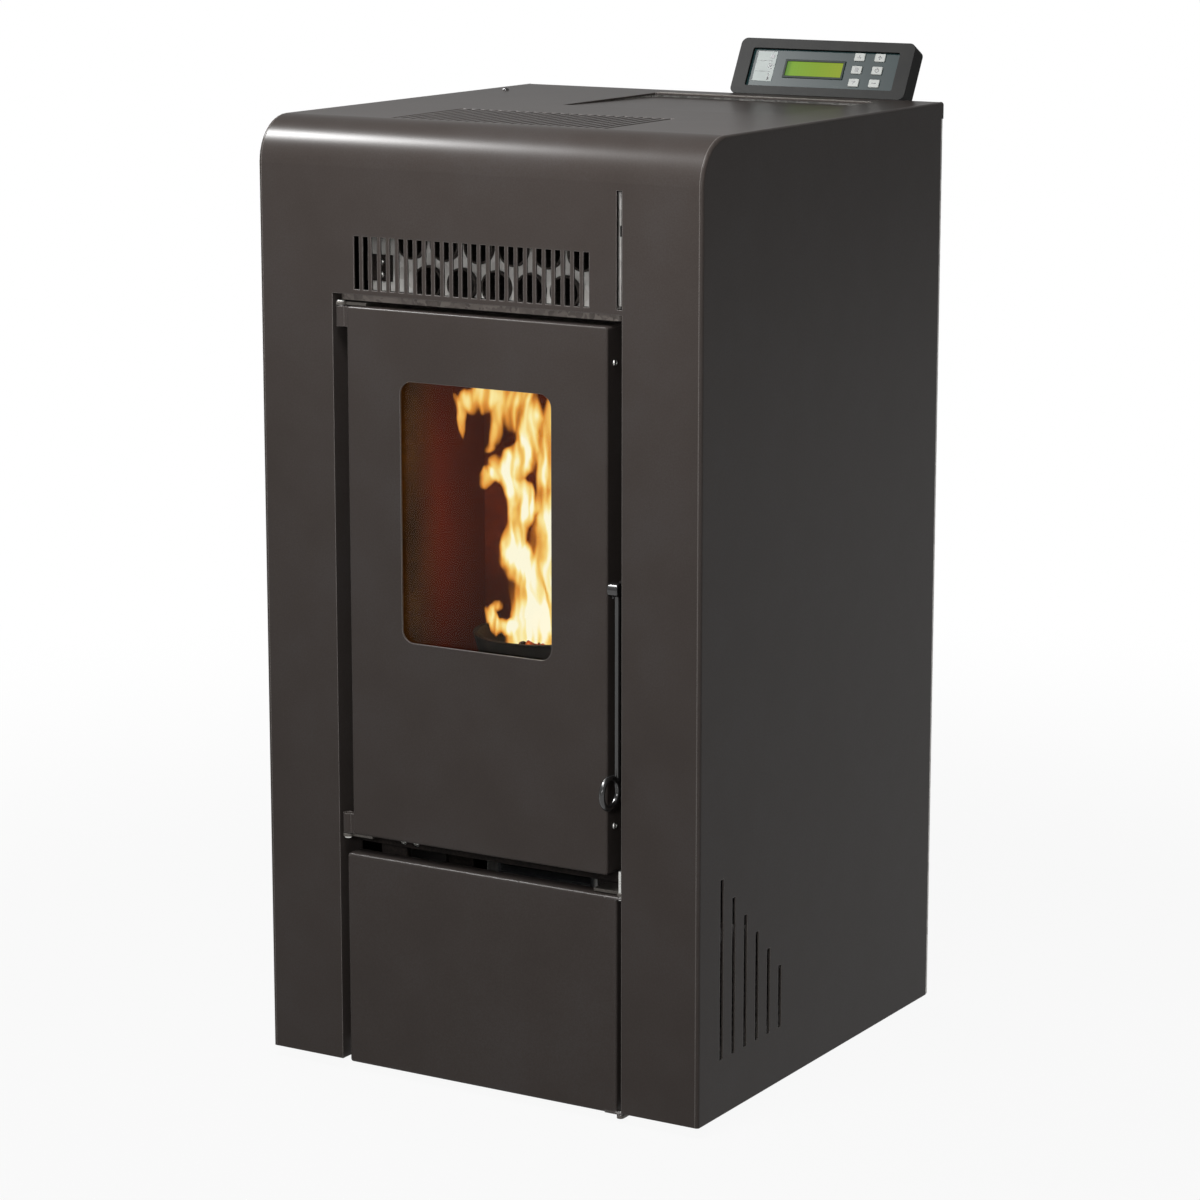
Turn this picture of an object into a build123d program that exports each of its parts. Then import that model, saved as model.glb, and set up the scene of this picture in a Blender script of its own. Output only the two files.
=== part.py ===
from build123d import *
import os
from math import atan2, cos, degrees, hypot, radians, sin, tan

os.makedirs("parts", exist_ok=True)

# Pellet stove for room air, millimetres. X runs to the right seen from the front,
# Y to the rear, Z up. The origin is on the floor, under the middle of the whole part.

# ---------------------------------------------------------------- casing
casing_width = 500.0
casing_depth = 500.0
casing_height = 950.0
sheet = 2.0
head_bend = 45.0          # bend between the head and the top
edge_radius = 3.0         # folded edges of side panels, door and lower panel
fold_reach = 3.6          # how far a side panel's edge is folded towards the cover
rear_step = 5.0           # the back panel's rim and the top's lip behind the side panels
rear_lip = 17.0
foot_height = 12.0
head_height = 168.0
head_edge = casing_height - head_height  # its lower edge, above the casing's lower edge
column_return = 40.0      # inner folds of the columns
head_return = 12.0

grille_slots = 26
grille_pitch = 10.4
grille_slot_width = 6.3
grille_slot_height = 52.0
grille_rise = 5.0         # grille and slit above the head's lower edge
grille_bottom = head_edge + grille_rise
grille_shift = -5.0       # both grilles sit a little left of the middle
top_slots = 24
top_slot_width = 5.0
top_slot_length = 130.0
top_slot_start = 50.0     # from the front face
slit_width = 6.0
slit_length = 111.0
slit_bottom = grille_bottom
slit_top = slit_bottom + slit_length
side_slots = 6
side_slot_width = 6.5
side_slot_start = 45.0
side_slot_pitch = 23.8
side_slot_bottom = 57.0
side_slot_top = 238.0
side_slot_drop = 23.4     # each slot further back is this much shorter

# ---------------------------------------------------------------- clearances
running_gap = 0.05        # radial, pins and shafts in their bores
rub_gap = 0.5             # between faces that turn past each other
fit_gap = 0.3             # small parts in their openings
wall_gap = 2.0            # rotors and the screw in their housings

# ---------------------------------------------------------------- fire door
door_width = 296.0
door_side_gap = 16.0      # from the door to each column
recess_width = door_width + 2 * door_side_gap  # opening between the two columns
door_bottom = 238.0
door_top_gap = 12.0       # door to the head
door_top = head_edge - door_top_gap
door_fold = 28.0          # depth of the folded edges
window_width = 172.0
window_bottom = 442.0
window_drop = 69.0        # window below the door's upper edge
window_top = door_top - window_drop
window_radius = 13.0
glass_lap = 13.0          # glass beyond the window on each side
glass_thickness = 4.0
gasket_tape = 2.0
tape_width = 9.0
frame_plate = 2.0
rope_size = 12.0
rope_inset = 10.0         # centre of the rope from the inside of the door's folds
rope_groove_depth = 6.0
door_axis_inset = 7.5     # hinge axis from the left column
door_axis_depth = 5.0     # hinge axis behind the front face
hinge_pin_size = 6.0
knuckle_size = 11.0
knuckle_length = 20.0
bracket_thickness = 3.0
seal_gap = 0.3            # rope to firebox frame

# ---------------------------------------------------------------- door handle
rod_size = 6.0
ring_radius = 14.8
ring_weld = 0.6           # ring's overlap with the rod beyond the tangent
rod_end_rise = 6.0        # rod's end above the ring's centre
rod_depth = 6.0           # rod behind the front face
rod_side_gap = 8.0        # rod centre from the door's edge
handle_level = 519.0      # pivot
ring_level = 323.0        # centre of the ring
pivot_size = 8.0
hub_size = 14.0
hook_thickness = 3.0
hook_height = 8.0
hook_reach = 27.0
striker_size = 6.0
striker_depth = 23.0

# ---------------------------------------------------------------- lower panel
panel_side_gap = 7.0      # from the panel to each column
panel_width = recess_width - 2 * panel_side_gap
panel_bottom = -2.6
panel_top = 217.0
panel_depth = 2.5         # its face behind the casing's front face
panel_fold = 20.0
panel_axis_inset = 4.0    # hinge axis from the right column
panel_axis_depth = 6.0
panel_pin_size = 5.0
panel_ear = 3.7           # radius of the ears round the pins
panel_pin_rise = 26.0     # top pin above the panel
ear_gap = 1.0
ear_length = 16.0

# ---------------------------------------------------------------- firebox
frame_depth = 34.0        # front of the firebox frame behind the casing's front face
frame_thickness = 4.0
frame_gap = 2.0           # frame to the column folds
frame_bottom = 222.0
mouth_bottom = 270.0
mouth_drop = 32.0         # mouth below the door's upper edge
mouth_top = door_top - mouth_drop
box_side_gap = 22.0       # from the firebox to each column
box_width = recess_width - 2 * box_side_gap
mouth_inset = 20.0        # width of the firebox frame beside the mouth
mouth_width = box_width - 2 * mouth_inset
behind_box = 268.0        # room behind the firebox for the fan, the hopper and the auger
box_rear = casing_depth - behind_box
box_bottom = 232.0
box_rise = 80.0           # firebox above the head's lower edge
box_top = head_edge + box_rise
box_wall = 4.0
shelf_drop = 16.0
smoke_shelf = head_edge - shelf_drop  # underside of the plate between firebox and exchanger
pot_shelf = 374.0         # underside of the plate that carries the brazier
header_drop = 6.6         # its underside below the head's lower edge
header_bottom = head_edge - header_drop
header_height = 6.0
header_front = 6.0
header_radius = 10.0
leg_size = 30.0
leg_wall = 3.0
rear_leg_inset = 67.0      # rear legs in front of the firebox's rear wall
pot_gap = 17.0            # brazier's rim to the firebox frame and to the fireback
pot_taper = 18.0          # how much smaller the radius of the brazier's base is
liner_side = 14.0
liner_back = 16.0
liner_drop = 11.0
liner_top = smoke_shelf - liner_drop
chamber_front = frame_depth + frame_thickness
chamber_back = box_rear - box_wall - liner_back
pot_depth = (chamber_front + chamber_back) / 2  # brazier's axis behind the front face
pot_rim = chamber_back - chamber_front - 2 * pot_gap
pot_base = pot_rim - 2 * pot_taper
ash_slot_inset = 32.0     # ash slots from the ends of the fire chamber
ash_slot_width = 18.0
ash_slot_gap = 20.0       # ash slots from the side liners
pot_height = 62.0
pot_wall = 5.0
drawer_side_gap = 4.0      # drawer to the sides of the mouth
drawer_width = mouth_width - 2 * drawer_side_gap
drawer_height = 90.0
drawer_wall = 1.5
igniter_size = 10.0

# ---------------------------------------------------------------- exchanger
tube_size = 33.0
tube_wall = 2.0
tube_pitch = 39.0
tube_row_gap = 37.5
tube_rise = 11.5
tube_level = head_edge + tube_rise  # axis of the lower row
tubes_low = 5
tubes_high = 6
tube_plate_depth = 43.0
tube_plate_thickness = 3.0
tube_plate_top = slit_top
tube_overhang = 5.0
guide_depth = 8.0         # strip behind the slit, from the front face
guide_width = 12.4
guide_sheet = 1.5
guide_inset = 2.0         # strip's ends inside the slit's ends
guide_gap = 0.6           # strip to the scrapers' lever
scraper_drop = 38.0       # lever below the slit's upper end
scraper_level = slit_top - scraper_drop
scraper_pivot_inset = 42.0  # lever's pivot in front of the firebox's rear wall
scraper_pivot_depth = box_rear - scraper_pivot_inset
scraper_height = 10.0
scraper_thickness = 4.0

# ---------------------------------------------------------------- smoke path
smoke_duct_width = 44.0
smoke_duct_depth = 72.0    # of its upper part, beside the firebox
smoke_duct_front = box_rear - smoke_duct_depth
smoke_box_gap = 60.0      # smoke box to the casing's rear face
smoke_box_rear = casing_depth - smoke_box_gap
smoke_box_bottom = 70.0
smoke_box_top = 230.0
blower_inset = 115.0      # blower's axis in front of the rear face
blower_depth = casing_depth - blower_inset
blower_level = 150.0
scroll_radius = 75.0
scroll_width = 70.0
scroll_wall = 2.0
blower_inlet = 64.0
impeller_size = 118.0
impeller_blades = 10
impeller_width = 34.0
motor_shaft = 8.0
smoke_motor_size = 72.0
smoke_motor_length = 52.0
flue_size = 80.0
flue_wall = 1.5
flue_reach = 60.0         # spigot behind the back panel
flue_flange = 92.0
stop_bead = 1.4           # rings round the flue spigot and the intake pipe at the back panel
stop_bead_length = 3.0

# ---------------------------------------------------------------- air paths
intake_size = 50.0
intake_wall = 1.5
intake_x = 84.0
intake_level = 62.0
intake_riser_inset = 102.0  # riser in front of the firebox's rear wall
intake_riser_depth = box_rear - intake_riser_inset
intake_bend = 50.0
intake_reach = 45.0
duct_inset = 21.0         # duct's sides from the firebox's sides
duct_width = box_width - 2 * duct_inset
duct_depth = 30.0
duct_sheet = 1.0
duct_fall = 62.0          # duct's slanted back ends this high above the fan
duct_step = 20.0
fan_level = 155.0
fan_size = 60.0
fan_blades = 24
fan_scroll = 42.0
fan_motor_size = 62.0
fan_motor_length = 44.0
fan_shaft = 6.0

# ---------------------------------------------------------------- pellets
lid_left = -66.0          # opening in the top
lid_right = 190.0
lid_rear_gap = 42.0       # opening to the casing's rear face
lid_length = 186.0
lid_back = casing_depth - lid_rear_gap
lid_front = lid_back - lid_length
lid_gap = 1.5
lid_sunk = 1.0            # at its front edge
lid_fall = 3.0            # how much lower its rear edge lies
lid_seal = 6.0            # width of the seal
lid_seal_inset = 7.5      # seal inside the lid's edge
lid_axis_inset = 3.5      # hinge axis from the lid's rear edge
hopper_sheet = 1.5
hopper_inset = 16.0       # hopper wall inside the opening
hopper_rim_drop = 12.5    # rim below the top
hopper_rim = 28.0
hopper_straight = 250.0   # straight part below the rim
hopper_neck = 61.4        # straight neck between the funnel and the auger's tube
hopper_outlet = 40.0
lid_pin_size = 3.0
lid_knuckle = 5.0
grid_drop = 50.0
grid_level = casing_height - grid_drop
grid_wire = 3.0
auger_angle = 58.0        # above the horizontal
auger_rear_gap = 66.0     # auger's lower end to the casing's rear face
auger_run = 144.0         # from its lower to its upper end, level
auger_low_depth = casing_depth - auger_rear_gap
auger_high_depth = auger_low_depth - auger_run
outlet_inset = 14.0       # hopper's outlet in front of the auger's lower end
hopper_outlet_depth = auger_low_depth - outlet_inset
auger_tube_size = 50.0
auger_tube_wall = 2.0
auger_pitch = 45.0
auger_core = 14.0
flight_thickness = 3.0
chute_size = 40.0
chute_drop = 26.0         # chute's start below the auger's upper end
chute_level = 502.5       # its centre line at the firebox's rear face
chute_reach = 26.0        # its end in front of that face
chute_end_depth = box_rear - chute_reach
gearbox_size = 66.0
gearbox_length = 26.0
gear_motor_size = 46.0
gear_motor_length = 34.0

# ---------------------------------------------------------------- console
console_width = 204.0
console_left = -1.0
console_height = 63.5
console_thickness = 20.0
console_lean = 28.4       # from the vertical
console_gap = 0.8         # lower front edge behind the casing
console_corner = 7.0
bezel_side = 16.0
bezel_top = 11.0
bezel_bottom = 9.5
face_recess = 3.0
face_thickness = 2.0
lcd_left = 58.5
lcd_bottom = 23.0
lcd_width = 66.0
lcd_height = 16.5
button_columns = (141.4, 165.0)
button_rows = (47.0, 32.5, 18.0)
button_width = 12.0
button_height = 9.0
button_stand = 1.2
button_depth = 6.0
bracket_drop = 60.0
bracket_width = 120.0

# ---------------------------------------------------------------- electrics at the back
inlet_x = 180.0
inlet_level = 120.0
inlet_width = 34.0
inlet_height = 62.0
inlet_flange = 3.0
inlet_body_depth = 30.0
socket_width = 24.0
socket_height = 17.0
socket_depth = 16.0
rocker_width = 20.0
rocker_height = 14.0
rocker_tilt = 8.0
thermostat_level = 200.0
thermostat_size = 22.0
reset_size = 6.0
reset_travel = 1.5
board_level = 560.0
board_width = 120.0
board_height = 160.0
board_rear_gap = 120.0    # board's middle to the casing's rear face
board_depth = casing_depth - board_rear_gap

# ---------------------------------------------------------------- reference planes and levels
front_reach = 2 * ring_radius + rod_size / 2 - ring_weld - rod_depth
front = (front_reach - casing_depth - flue_reach) / 2
rear = front + casing_depth
base = foot_height
top = base + casing_height
side = casing_width / 2
recess = recess_width / 2


def facing(y):
    """Plane at y, drawn as seen from the front; extruding it goes towards the front."""
    return Plane.XZ.offset(-y)


def from_left(x):
    """Plane at x with Y to the right and Z up; extruding it goes towards +X."""
    return Plane.YZ.offset(x)


def plate(x0, x1, y0, y1, z0, z1, mode=Mode.ADD):
    """Rectangular block between two corners, in the part that is being built."""
    with Locations(((x0 + x1) / 2, (y0 + y1) / 2, (z0 + z1) / 2)):
        Box(x1 - x0, y1 - y0, z1 - z0, mode=mode)


def save(builder, name):
    """Name a finished piece and write it."""
    builder.part.label = name
    export_step(builder.part, f"parts/{name}.step")


# ================================================================ casing pieces
cover_half = side - fold_reach

with BuildPart() as front_top_cover:
    with BuildSketch(Plane.YZ):
        with BuildLine():
            cover_line = FilletPolyline(
                (front, base), (front, top), (rear, top), (rear, top - rear_lip),
                radius=[head_bend, edge_radius],
            )
            offset(cover_line, amount=sheet, side=Side.RIGHT)
        make_face()
    extrude(amount=cover_half, both=True)
    with BuildSketch(facing(front + sheet)):
        with Locations((0, base)):
            Rectangle(recess_width, head_edge, align=(Align.CENTER, Align.MIN))
        with Locations((grille_shift, base + grille_bottom)):
            with GridLocations(grille_pitch, 1, grille_slots, 1):
                Rectangle(grille_slot_width, grille_slot_height, align=(Align.CENTER, Align.MIN))
        with Locations((recess - slit_width, base + slit_bottom)):
            Rectangle(slit_width, slit_top - slit_bottom, align=(Align.MIN, Align.MIN))
    extrude(amount=sheet, mode=Mode.SUBTRACT)
    with BuildSketch(Plane.XY.offset(top)):
        with Locations((grille_shift, front + top_slot_start + top_slot_length / 2)):
            with GridLocations(grille_pitch, 1, top_slots, 1):
                Rectangle(top_slot_width, top_slot_length)
        with Locations(((lid_left + lid_right) / 2, front + (lid_front + lid_back) / 2)):
            Rectangle(lid_right - lid_left, lid_back - lid_front)
    extrude(amount=-sheet, mode=Mode.SUBTRACT)
    with BuildSketch(Plane.XY.offset(base)):
        for hand in (-1, 1):
            with Locations((hand * (recess + sheet / 2), front)):
                Rectangle(sheet, column_return, align=(Align.CENTER, Align.MIN))
    extrude(amount=head_edge)
    plate(-recess - sheet, recess + sheet, front, front + head_return,
          base + head_edge, base + head_edge + sheet)
save(front_top_cover, "front_top_cover")

with BuildPart() as right_side_panel:
    with BuildSketch(from_left(side - fold_reach)):
        with BuildLine():
            side_line = FilletPolyline(
                (front, base), (front, top), (rear, top), radius=[head_bend],
            )
            Polyline(
                side_line @ 1, (rear, top - rear_lip), (rear - rear_step, top - rear_lip),
                (rear - rear_step, base), side_line @ 0,
            )
        make_face()
    extrude(amount=fold_reach)
    outer_face = right_side_panel.faces().sort_by(Axis.X)[-1]
    rear_line = outer_face.edges().filter_by(Axis.Z).group_by(Axis.Y)[0]
    folded = rear_line + outer_face.edges().filter_by(GeomType.CIRCLE)
    folded += outer_face.edges().filter_by(Axis.Y).group_by(Axis.Z)[-1]
    fillet(folded, edge_radius)
    with BuildSketch(from_left(side - fold_reach)):
        with BuildLine():
            inner_line = FilletPolyline(
                (front + sheet, base), (front + sheet, top - sheet), (rear, top - sheet),
                radius=[head_bend - sheet],
            )
            Polyline(inner_line @ 1, (rear, base), inner_line @ 0)
        make_face()
    extrude(amount=fold_reach - sheet, mode=Mode.SUBTRACT)
    with BuildSketch(from_left(side - sheet)):
        for number in range(side_slots):
            slot_height = side_slot_top - side_slot_bottom - number * side_slot_drop
            slot_place = (front + side_slot_start + number * side_slot_pitch, base + side_slot_bottom)
            with Locations(slot_place):
                Rectangle(side_slot_width, slot_height, align=(Align.CENTER, Align.MIN))
    extrude(amount=sheet, mode=Mode.SUBTRACT)
save(right_side_panel, "right_side_panel")

with BuildPart() as left_side_panel:
    mirror(right_side_panel.part, about=Plane.YZ)
save(left_side_panel, "left_side_panel")

# ---- flue, intake and the cut-outs that the back panel gives them
duct_left = -box_width / 2 - smoke_duct_width
scroll_left = -box_width / 2
flue_x = scroll_left + scroll_width / 2
outlet_height = scroll_radius - scroll_wall
flue_level = blower_level + scroll_radius - scroll_wall - outlet_height / 2
back_sheet = 1.5
back_half = side - 1.0
vent_slots = 7
vent_pitch = 14.0
vent_width = 6.0
vent_length = 90.0
vent_x = 60.0
vent_level = 155.0

with BuildPart() as back_panel:
    with BuildSketch(facing(rear)):
        with Locations((0, base)):
            Rectangle(2 * back_half, casing_height - rear_lip, align=(Align.CENTER, Align.MIN))
    extrude(amount=rear_step)
    with BuildSketch(facing(rear - back_sheet)):
        with Locations((0, base + back_sheet)):
            Rectangle(2 * (back_half - back_sheet), casing_height - rear_lip - 2 * back_sheet,
                      align=(Align.CENTER, Align.MIN))
    extrude(amount=rear_step, mode=Mode.SUBTRACT)
    with BuildSketch(facing(rear)):
        with Locations((flue_x, base + flue_level)):
            Circle(flue_size / 2 + wall_gap)
        with Locations((intake_x, base + intake_level)):
            Circle(intake_size / 2 + fit_gap)
        with Locations((inlet_x, base + inlet_level)):
            Rectangle(inlet_width - 2 * inlet_flange, inlet_height - 2 * inlet_flange)
        with Locations((inlet_x, base + thermostat_level)):
            Circle(reset_size)
        with Locations((vent_x, base + vent_level)):
            with GridLocations(1, vent_pitch, 1, vent_slots):
                SlotOverall(vent_length, vent_width)
    extrude(amount=back_sheet, mode=Mode.SUBTRACT)
save(back_panel, "back_panel")

# ================================================================ base and feet
tray_level = 8.0          # underside of the tray above the casing's lower edge
tray_rim = 25.0
tray_front = front + column_return + rub_gap
foot_inset = 60.0
foot_pad = 40.0
foot_pad_height = 5.0
foot_stud = 10.0
foot_nut = 17.0
foot_nut_height = 6.0
stud_height = 16.0        # stud above the tray's floor
tray_under = base + tray_level
tray_middle = (tray_front + rear - rear_step) / 2
foot_span_x = casing_width - 2 * foot_inset
foot_front = tray_front + foot_inset / 2
foot_rear = rear - foot_inset

with BuildPart() as base_tray:
    with BuildSketch(Plane.XY.offset(tray_under)):
        with Locations((0, tray_middle)):
            Rectangle(2 * (side - sheet), rear - rear_step - tray_front)
    extrude(amount=tray_rim)
    with BuildSketch(Plane.XY.offset(tray_under + sheet)):
        with Locations((0, tray_middle)):
            Rectangle(2 * (side - 2 * sheet), rear - rear_step - tray_front - 2 * sheet)
    extrude(amount=tray_rim, mode=Mode.SUBTRACT)
    with BuildSketch(Plane.XY.offset(tray_under)):
        with Locations((0, (foot_front + foot_rear) / 2)):
            with GridLocations(foot_span_x, foot_rear - foot_front, 2, 2):
                Circle(foot_stud / 2 + fit_gap)
    extrude(amount=sheet, mode=Mode.SUBTRACT)
save(base_tray, "base_tray")

with BuildPart() as levelling_feet:
    with BuildSketch(Plane.XY):
        with Locations((0, (foot_front + foot_rear) / 2)):
            with GridLocations(foot_span_x, foot_rear - foot_front, 2, 2):
                Circle(foot_pad / 2)
    extrude(amount=foot_pad_height)
    chamfer(levelling_feet.edges().group_by(Axis.Z)[-1], 1.5)
    with BuildSketch(Plane.XY.offset(foot_pad_height)):
        with Locations((0, (foot_front + foot_rear) / 2)):
            with GridLocations(foot_span_x, foot_rear - foot_front, 2, 2):
                Circle(foot_stud / 2)
    extrude(amount=tray_under + sheet + stud_height - foot_pad_height)
    with BuildSketch(Plane.XY.offset(tray_under - foot_nut_height)):
        with Locations((0, (foot_front + foot_rear) / 2)):
            with GridLocations(foot_span_x, foot_rear - foot_front, 2, 2):
                RegularPolygon(foot_nut / 2, 6, major_radius=False)
    extrude(amount=foot_nut_height)
save(levelling_feet, "levelling_feet")

# ================================================================ firebox
frame_front = front + frame_depth
box_front = frame_front + frame_thickness
box_back = front + box_rear
box_half = box_width / 2
frame_half = recess - frame_gap
frame_top = header_bottom + header_height
shelf_thickness = 4.0
passage_half = 80.0       # smoke passage through the upper plate
passage_depth = 30.0
passage_rear = 30.0
duct_mouth_drop = 15.0    # smoke opening below the firebox's top
duct_mouth_height = 55.0
duct_mouth_front = 8.0    # from the duct's front
duct_mouth_rear = 12.0    # from the firebox's rear
chute_slope = 45.0
auger_rise = (auger_low_depth - auger_high_depth) * tan(radians(auger_angle))
chute_start_level = chute_level + (auger_high_depth - box_rear) * tan(radians(chute_slope))
auger_high_level = chute_start_level + chute_drop
auger_low_level = auger_high_level - auger_rise
chute_hole = chute_size / cos(radians(chute_slope)) + 2 * rub_gap


def chute_level_at(depth):
    """Height of the chute's centre line at a depth behind the front face."""
    return chute_start_level - (auger_high_depth - depth) * tan(radians(chute_slope))


pot_seat = base + pot_shelf + shelf_thickness
ash_slot_span = box_width - 2 * (box_wall + liner_side + ash_slot_gap + ash_slot_width / 2)
igniter_level = pot_seat + 16.0
scraper_x = recess - slit_width / 2
scraper_y = front + scraper_pivot_depth
scraper_z = base + scraper_level
scraper_pin = 8.0
scraper_boss = 18.0
scraper_left = scraper_x - scraper_thickness / 2
stub_plate = 30.0

with BuildPart() as firebox_body:
    with BuildSketch(facing(box_front)):
        with Locations((0, base + frame_bottom)):
            Rectangle(2 * frame_half, frame_top - frame_bottom, align=(Align.CENTER, Align.MIN))
    extrude(amount=frame_thickness)
    with BuildSketch(facing(box_back)):
        with Locations((0, base + box_bottom)):
            Rectangle(box_width, box_top - box_bottom, align=(Align.CENTER, Align.MIN))
    extrude(amount=box_back - box_front)
    # fire chamber, ash space and smoke space, with the plates left between them
    plate(-box_half + box_wall, box_half - box_wall, box_front, box_back - box_wall,
          pot_seat, base + smoke_shelf, mode=Mode.SUBTRACT)
    plate(-box_half + box_wall, box_half - box_wall, box_front, box_back - box_wall,
          base + box_bottom + box_wall, base + pot_shelf, mode=Mode.SUBTRACT)
    plate(-box_half + box_wall, box_half - box_wall, box_front, box_back - box_wall,
          base + smoke_shelf + shelf_thickness, base + box_top - box_wall, mode=Mode.SUBTRACT)
    with BuildSketch(facing(box_front)):
        with Locations((0, base + mouth_bottom)):
            Rectangle(mouth_width, mouth_top - mouth_bottom, align=(Align.CENTER, Align.MIN))
    extrude(amount=frame_thickness, mode=Mode.SUBTRACT)
    # the smoke space is open to the front, behind the tube plate
    plate(-box_half, box_half, frame_front, front + tube_plate_depth + tube_plate_thickness,
          base + frame_top, base + box_top, mode=Mode.SUBTRACT)
    # smoke passage in the upper plate, pot opening and ash slots in the lower one
    plate(-passage_half, passage_half, box_back - passage_rear - passage_depth,
          box_back - passage_rear, base + smoke_shelf,
          base + smoke_shelf + shelf_thickness, mode=Mode.SUBTRACT)
    with BuildSketch(Plane.XY.offset(base + pot_shelf)):
        with Locations((0, front + pot_depth)):
            Circle(pot_base / 2 - 8)
        with Locations((0, front + pot_depth)):
            with GridLocations(ash_slot_span, 1, 2, 1):
                SlotOverall(chamber_back - chamber_front - 2 * ash_slot_inset, ash_slot_width, rotation=90)
    extrude(amount=shelf_thickness, mode=Mode.SUBTRACT)
    # holes of the rear wall: exchanger tubes, pellet chute and igniter
    with BuildSketch(facing(box_back)):
        with Locations((0, base + tube_level)):
            with GridLocations(tube_pitch, 1, tubes_low, 1):
                Circle(tube_size / 2)
        with Locations((0, base + tube_level + tube_row_gap)):
            with GridLocations(tube_pitch, 1, tubes_high, 1):
                Circle(tube_size / 2)
        with Locations((0, base + chute_level_at(box_rear - box_wall / 2))):
            Rectangle(chute_size + 2 * rub_gap, chute_hole + box_wall)
        with Locations((0, igniter_level)):
            Circle(igniter_size / 2 + fit_gap)
    extrude(amount=box_wall, mode=Mode.SUBTRACT)
    # air opening in the floor, smoke opening in the left wall
    with Locations((intake_x, front + intake_riser_depth, base + box_bottom + box_wall / 2)):
        Cylinder(intake_size / 2 - intake_wall, box_wall, mode=Mode.SUBTRACT)
    plate(-box_half, -box_half + box_wall, front + smoke_duct_front + duct_mouth_front,
          box_back - duct_mouth_rear, base + box_top - duct_mouth_drop - duct_mouth_height,
          base + box_top - duct_mouth_drop, mode=Mode.SUBTRACT)
    # four angle legs on the base tray
    for hand in (-1, 1):
        for leg_y in (tray_front + sheet, box_back - rear_leg_inset):
            leg_x = hand * (box_half - leg_size / 2)
            plate(leg_x - leg_size / 2, leg_x + leg_size / 2, leg_y, leg_y + leg_wall,
                  tray_under + sheet, base + box_bottom)
            wall_x = hand * (box_half - leg_wall / 2)
            plate(wall_x - leg_wall / 2, wall_x + leg_wall / 2, leg_y, leg_y + leg_size,
                  tray_under + sheet, base + box_bottom)
    # stub on the right wall for the scrapers' lever
    plate(box_half, box_half + leg_wall, scraper_y - stub_plate / 2, scraper_y + stub_plate / 2,
          scraper_z - stub_plate, scraper_z + stub_plate / 2)
    with BuildSketch(from_left(box_half + leg_wall)):
        with Locations((scraper_y, scraper_z)):
            Circle(scraper_boss / 2)
    extrude(amount=scraper_left - fit_gap - box_half - leg_wall)
    with BuildSketch(from_left(box_half + leg_wall)):
        with Locations((scraper_y, scraper_z)):
            Circle(scraper_pin / 2)
    extrude(amount=scraper_left + scraper_thickness + leg_wall - box_half - leg_wall)
save(firebox_body, "firebox_body")

with BuildPart() as firebox_header:
    with BuildSketch(Plane.XY.offset(base + header_bottom)) as header_plan:
        with Locations((0, front + header_front)):
            Rectangle(2 * frame_half, frame_depth - header_front, align=(Align.CENTER, Align.MIN))
        fillet(header_plan.vertices().group_by(Axis.Y)[0], header_radius)
    extrude(amount=header_height)
save(firebox_header, "firebox_header")

liner_outer = box_half - box_wall
liner_front = box_front
liner_rear = box_back - box_wall

with BuildPart() as side_liners:
    with BuildSketch(Plane.XY.offset(pot_seat)):
        for hand in (-1, 1):
            with Locations((hand * (liner_outer - liner_side / 2), (liner_front + liner_rear) / 2)):
                Rectangle(liner_side, liner_rear - liner_front)
    extrude(amount=base + liner_top - pot_seat)
save(side_liners, "side_liners")

rib_count = 7
rib_pitch = 30.0
rib_width = 6.0
rib_height = 3.0
rib_length = 150.0
rib_top = 20.0            # ribs below the top of the liner
back_liner_half = liner_outer - liner_side

with BuildPart() as fireback_liner:
    with BuildSketch(facing(liner_rear)):
        with Locations((0, pot_seat)):
            Rectangle(2 * back_liner_half, base + liner_top - pot_seat, align=(Align.CENTER, Align.MIN))
    extrude(amount=liner_back)
    with BuildSketch(facing(liner_rear - liner_back)):
        with Locations((0, base + liner_top - rib_top - rib_length / 2)):
            with GridLocations(rib_pitch, 1, rib_count, 1):
                Rectangle(rib_width, rib_length)
    extrude(amount=rib_height)
    with BuildSketch(facing(liner_rear)):
        with Locations((0, base + chute_level_at(box_rear - box_wall - liner_back / 2))):
            Rectangle(chute_size + 2 * rub_gap, chute_hole + liner_back)
        with Locations((0, igniter_level)):
            Circle(igniter_size / 2 + fit_gap)
    extrude(amount=liner_back + rib_height, mode=Mode.SUBTRACT)
save(fireback_liner, "fireback_liner")

pot_y = front + pot_depth
pot_holes = 10

with BuildPart() as brazier:
    with BuildSketch(Plane.XY.offset(pot_seat)):
        with Locations((0, pot_y)):
            Circle(pot_base / 2)
    with BuildSketch(Plane.XY.offset(pot_seat + pot_height)):
        with Locations((0, pot_y)):
            Circle(pot_rim / 2)
    loft()
    with BuildSketch(Plane.XY.offset(pot_seat + pot_wall)):
        with Locations((0, pot_y)):
            Circle(pot_base / 2 - pot_wall)
    with BuildSketch(Plane.XY.offset(pot_seat + pot_height)):
        with Locations((0, pot_y)):
            Circle(pot_rim / 2 - pot_wall)
    loft(mode=Mode.SUBTRACT)
    with BuildSketch(Plane.XY.offset(pot_seat)):
        with Locations((0, pot_y)):
            with GridLocations(22, 22, 3, 3):
                Circle(4)
    extrude(amount=pot_wall, mode=Mode.SUBTRACT)
    with Locations((0, pot_y, igniter_level)):
        with PolarLocations(pot_base / 2, pot_holes, start_angle=90 + 180 / pot_holes):
            Cylinder(2.5, 4 * pot_wall, rotation=(0, 90, 0), mode=Mode.SUBTRACT)
    with Locations((0, pot_y + pot_base / 2, igniter_level)):
        Cylinder(igniter_size / 2 + fit_gap, 5 * pot_wall, rotation=(90, 0, 0), mode=Mode.SUBTRACT)
save(brazier, "brazier")

igniter_tip = pot_y + pot_base / 2 - 2
igniter_flange = 26.0
igniter_plate = 4.0

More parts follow.
